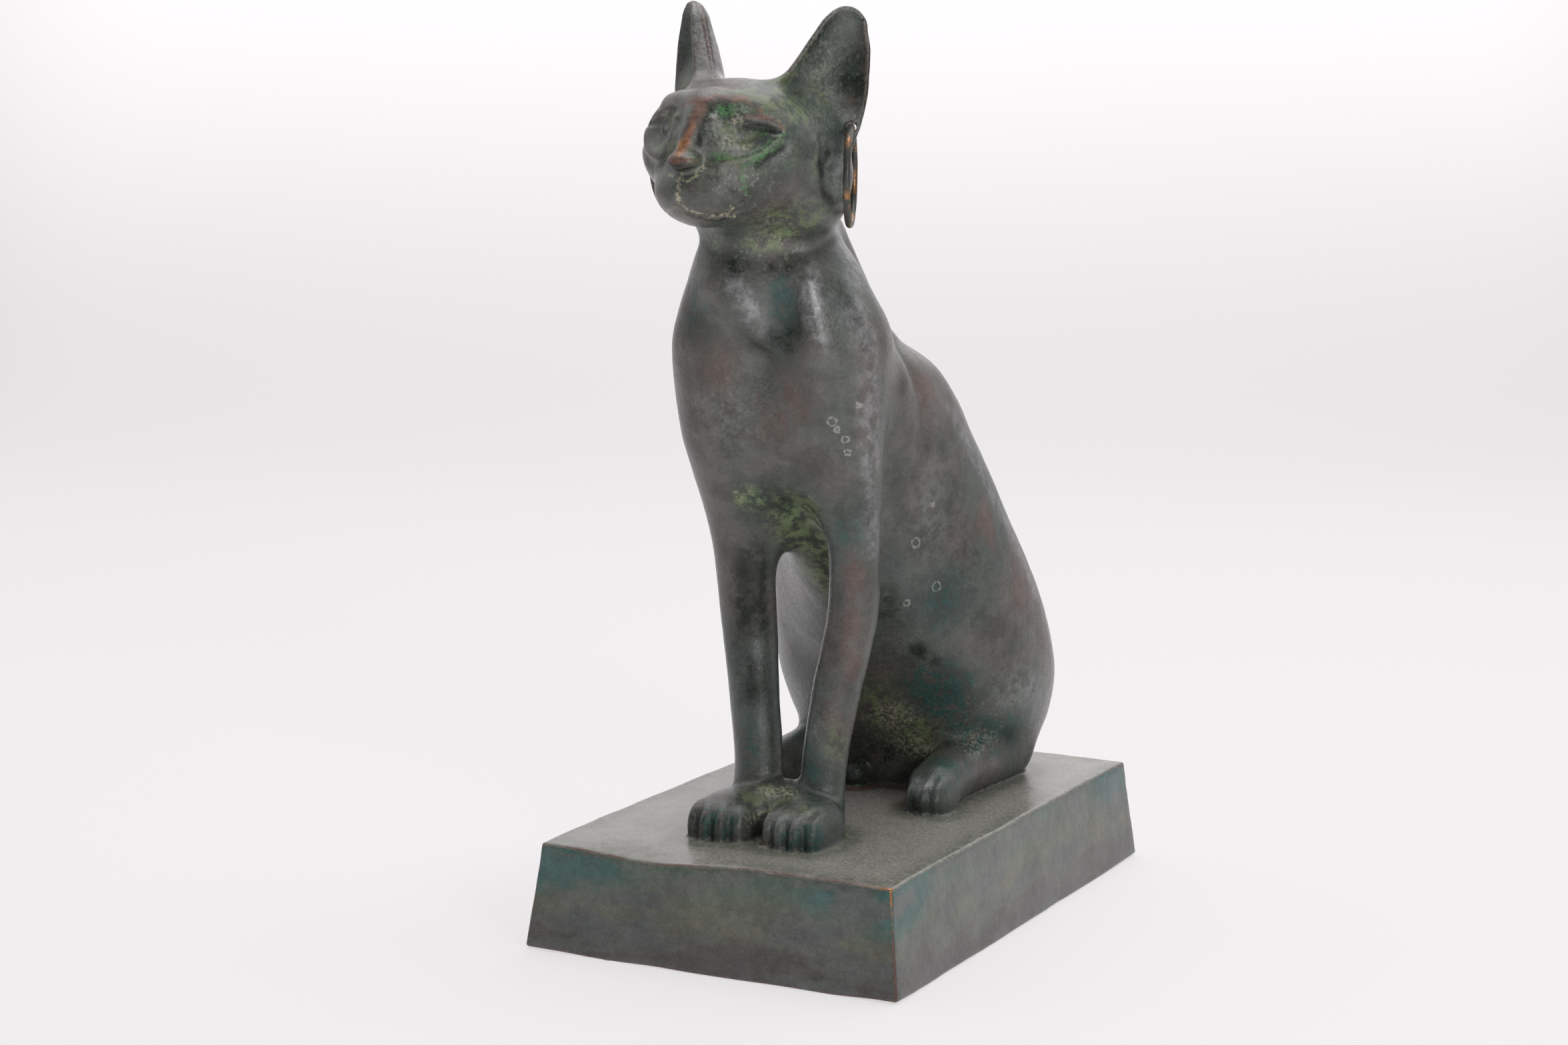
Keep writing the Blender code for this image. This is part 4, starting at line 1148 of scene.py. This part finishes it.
# ---------------------------------------------------------------- studio
CAMERA_AZIMUTH = math.radians(26.49)
CAMERA_ELEVATION = math.radians(7.89)
CAMERA_ROLL = math.radians(0.55)
CAMERA_DISTANCE = 0.968
CAMERA_TARGET = Vector((-0.0251, 0, 0.1215))
CAMERA_LENS = 68.88

WORLD_FRONT, WORLD_BACK = 0.16, 1.0
FLOOR_GLOW, WALL_GLOW, FRONT_LIFT = 0.62, 0.90, 2.4
LAMPS = {                                     # azimuth, elevation, distance, size, watts
    "key": (51, 17, 1.2, (0.32, 0.32), 4.2),
    "overhead": (150, 82, 1.3, (1.2, 1.2), 13),
    "behind": (175, 32, 1.4, (1.4, 0.5), 3),
    "left_side": (-115, 30, 1.3, (0.8, 1.0), 0.9),
}


def towards(azimuth, elevation):
    """Unit direction from the cat to a point seen at that azimuth (0 in front) and elevation."""
    flat = math.cos(elevation)
    return Vector((math.sin(azimuth) * flat, -math.cos(azimuth) * flat, math.sin(elevation)))


def make_camera():
    data = bpy.data.cameras.new("camera")
    data.lens = CAMERA_LENS
    data.sensor_width = 36
    item = bpy.data.objects.new("camera", data)
    back = towards(CAMERA_AZIMUTH, CAMERA_ELEVATION)
    item.location = CAMERA_TARGET + back * CAMERA_DISTANCE
    aim = back.to_track_quat("Z", "Y").to_matrix().to_4x4()
    item.rotation_euler = (aim @ Matrix.Rotation(CAMERA_ROLL, 4, "Z")).to_euler()
    bpy.context.scene.collection.objects.link(item)
    bpy.context.scene.camera = item


def make_lamp(name, azimuth, elevation, distance, size, watts):
    data = bpy.data.lights.new(name, "AREA")
    data.shape = "RECTANGLE"
    data.size, data.size_y = size
    data.energy = watts
    item = bpy.data.objects.new(name, data)
    direction = towards(math.radians(azimuth), math.radians(elevation))
    item.location = Vector((0, 0, 0.14)) + direction * distance
    item.rotation_euler = direction.to_track_quat("Z", "Y").to_euler()
    bpy.context.scene.collection.objects.link(item)


def make_sweep():
    """White paper that runs from under the cat and curves up behind it. Its brightness is mostly a glow of
    its own, a painted stand-in for light on the paper: dimmer on the floor than up the wall, fainter out to
    the sides, and strongest on the floor in front of the cat, where the glow also lights the cat from
    below.
    """
    nodes = Nodes(bpy.data.materials.new("white_paper"))
    nodes.feed(nodes.shader.inputs["Base Color"], (0.22, 0.212, 0.213))
    nodes.feed(nodes.shader.inputs["Emission Color"], (1.0, 0.972, 0.990))
    height = nodes.add("SeparateXYZ", 2, {0: nodes.place()})
    glow = nodes.ramp(height, 0, 0.4, FLOOR_GLOW, WALL_GLOW)
    across, ahead = (nodes.add("VectorMath", 1, {0: nodes.place(), 1: tuple(towards(angle, 0))},
                               operation="DOT_PRODUCT")
                     for angle in (CAMERA_AZIMUTH + math.pi / 2, CAMERA_AZIMUTH))
    fade = nodes.ramp(nodes.math("ABSOLUTE", across), 0.55, 1.3, 1, 0.35)
    lift = nodes.ramp(ahead, 0.2, 0.5, 1, FRONT_LIFT)
    glow = nodes.math("MULTIPLY", glow, nodes.math("MULTIPLY", fade, lift))
    nodes.feed(nodes.shader.inputs["Emission Strength"], glow)
    nodes.feed(nodes.shader.inputs["Roughness"], 0.9)
    nodes.shader.inputs["Specular IOR Level"].default_value = 0.0
    bend, flat, wall, half = 700, 1100, 1600, 3000
    outline = [(-3000, 0), (flat, 0)]
    steps = 24
    for i in range(1, steps + 1):
        angle = i / steps * math.pi / 2
        outline.append((flat + bend * math.sin(angle), bend * (1 - math.cos(angle))))
    outline.append((flat + bend, bend + wall))
    points = []
    for depth, height in outline:
        for across in (-half, half):
            x, y = turned(across, depth, CAMERA_AZIMUTH)
            points.append((x, y, height))
    faces = [(2 * i, 2 * i + 1, 2 * i + 3, 2 * i + 2) for i in range(len(outline) - 1)]
    item = new_object("paper_sweep", points, faces, nodes.owner)
    item.data.shade_smooth()
    item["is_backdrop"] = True


def make_world():
    """White light all round, strongest above and behind the cat and weakest behind the camera."""
    nodes = Nodes(bpy.data.worlds.new("studio"))
    facing = -towards(CAMERA_AZIMUTH, -0.5)
    along = nodes.add("VectorMath", 1, {0: nodes.add("TexCoord"), 1: facing}, operation="DOT_PRODUCT")
    background = nodes.tree.nodes["Background"]
    nodes.feed(background.inputs["Color"], (0.975, 0.965, 1.0))
    nodes.feed(background.inputs["Strength"], nodes.ramp(along, -0.05, 0.5, WORLD_FRONT, WORLD_BACK))
    bpy.context.scene.world = nodes.owner
    bpy.context.scene.view_settings.view_transform = "Standard"


def main():
    make_cat()
    wire = copper_wire()
    for side in RINGS:
        make_earring(side, wire)
    make_sweep()
    make_world()
    for name, settings in LAMPS.items():
        make_lamp(name, *settings)
    make_camera()


main()
corners = {"cad": CAD_BOX, "visual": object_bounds()}
{name: [list(corner) for corner in box] for name, box in corners.items()}
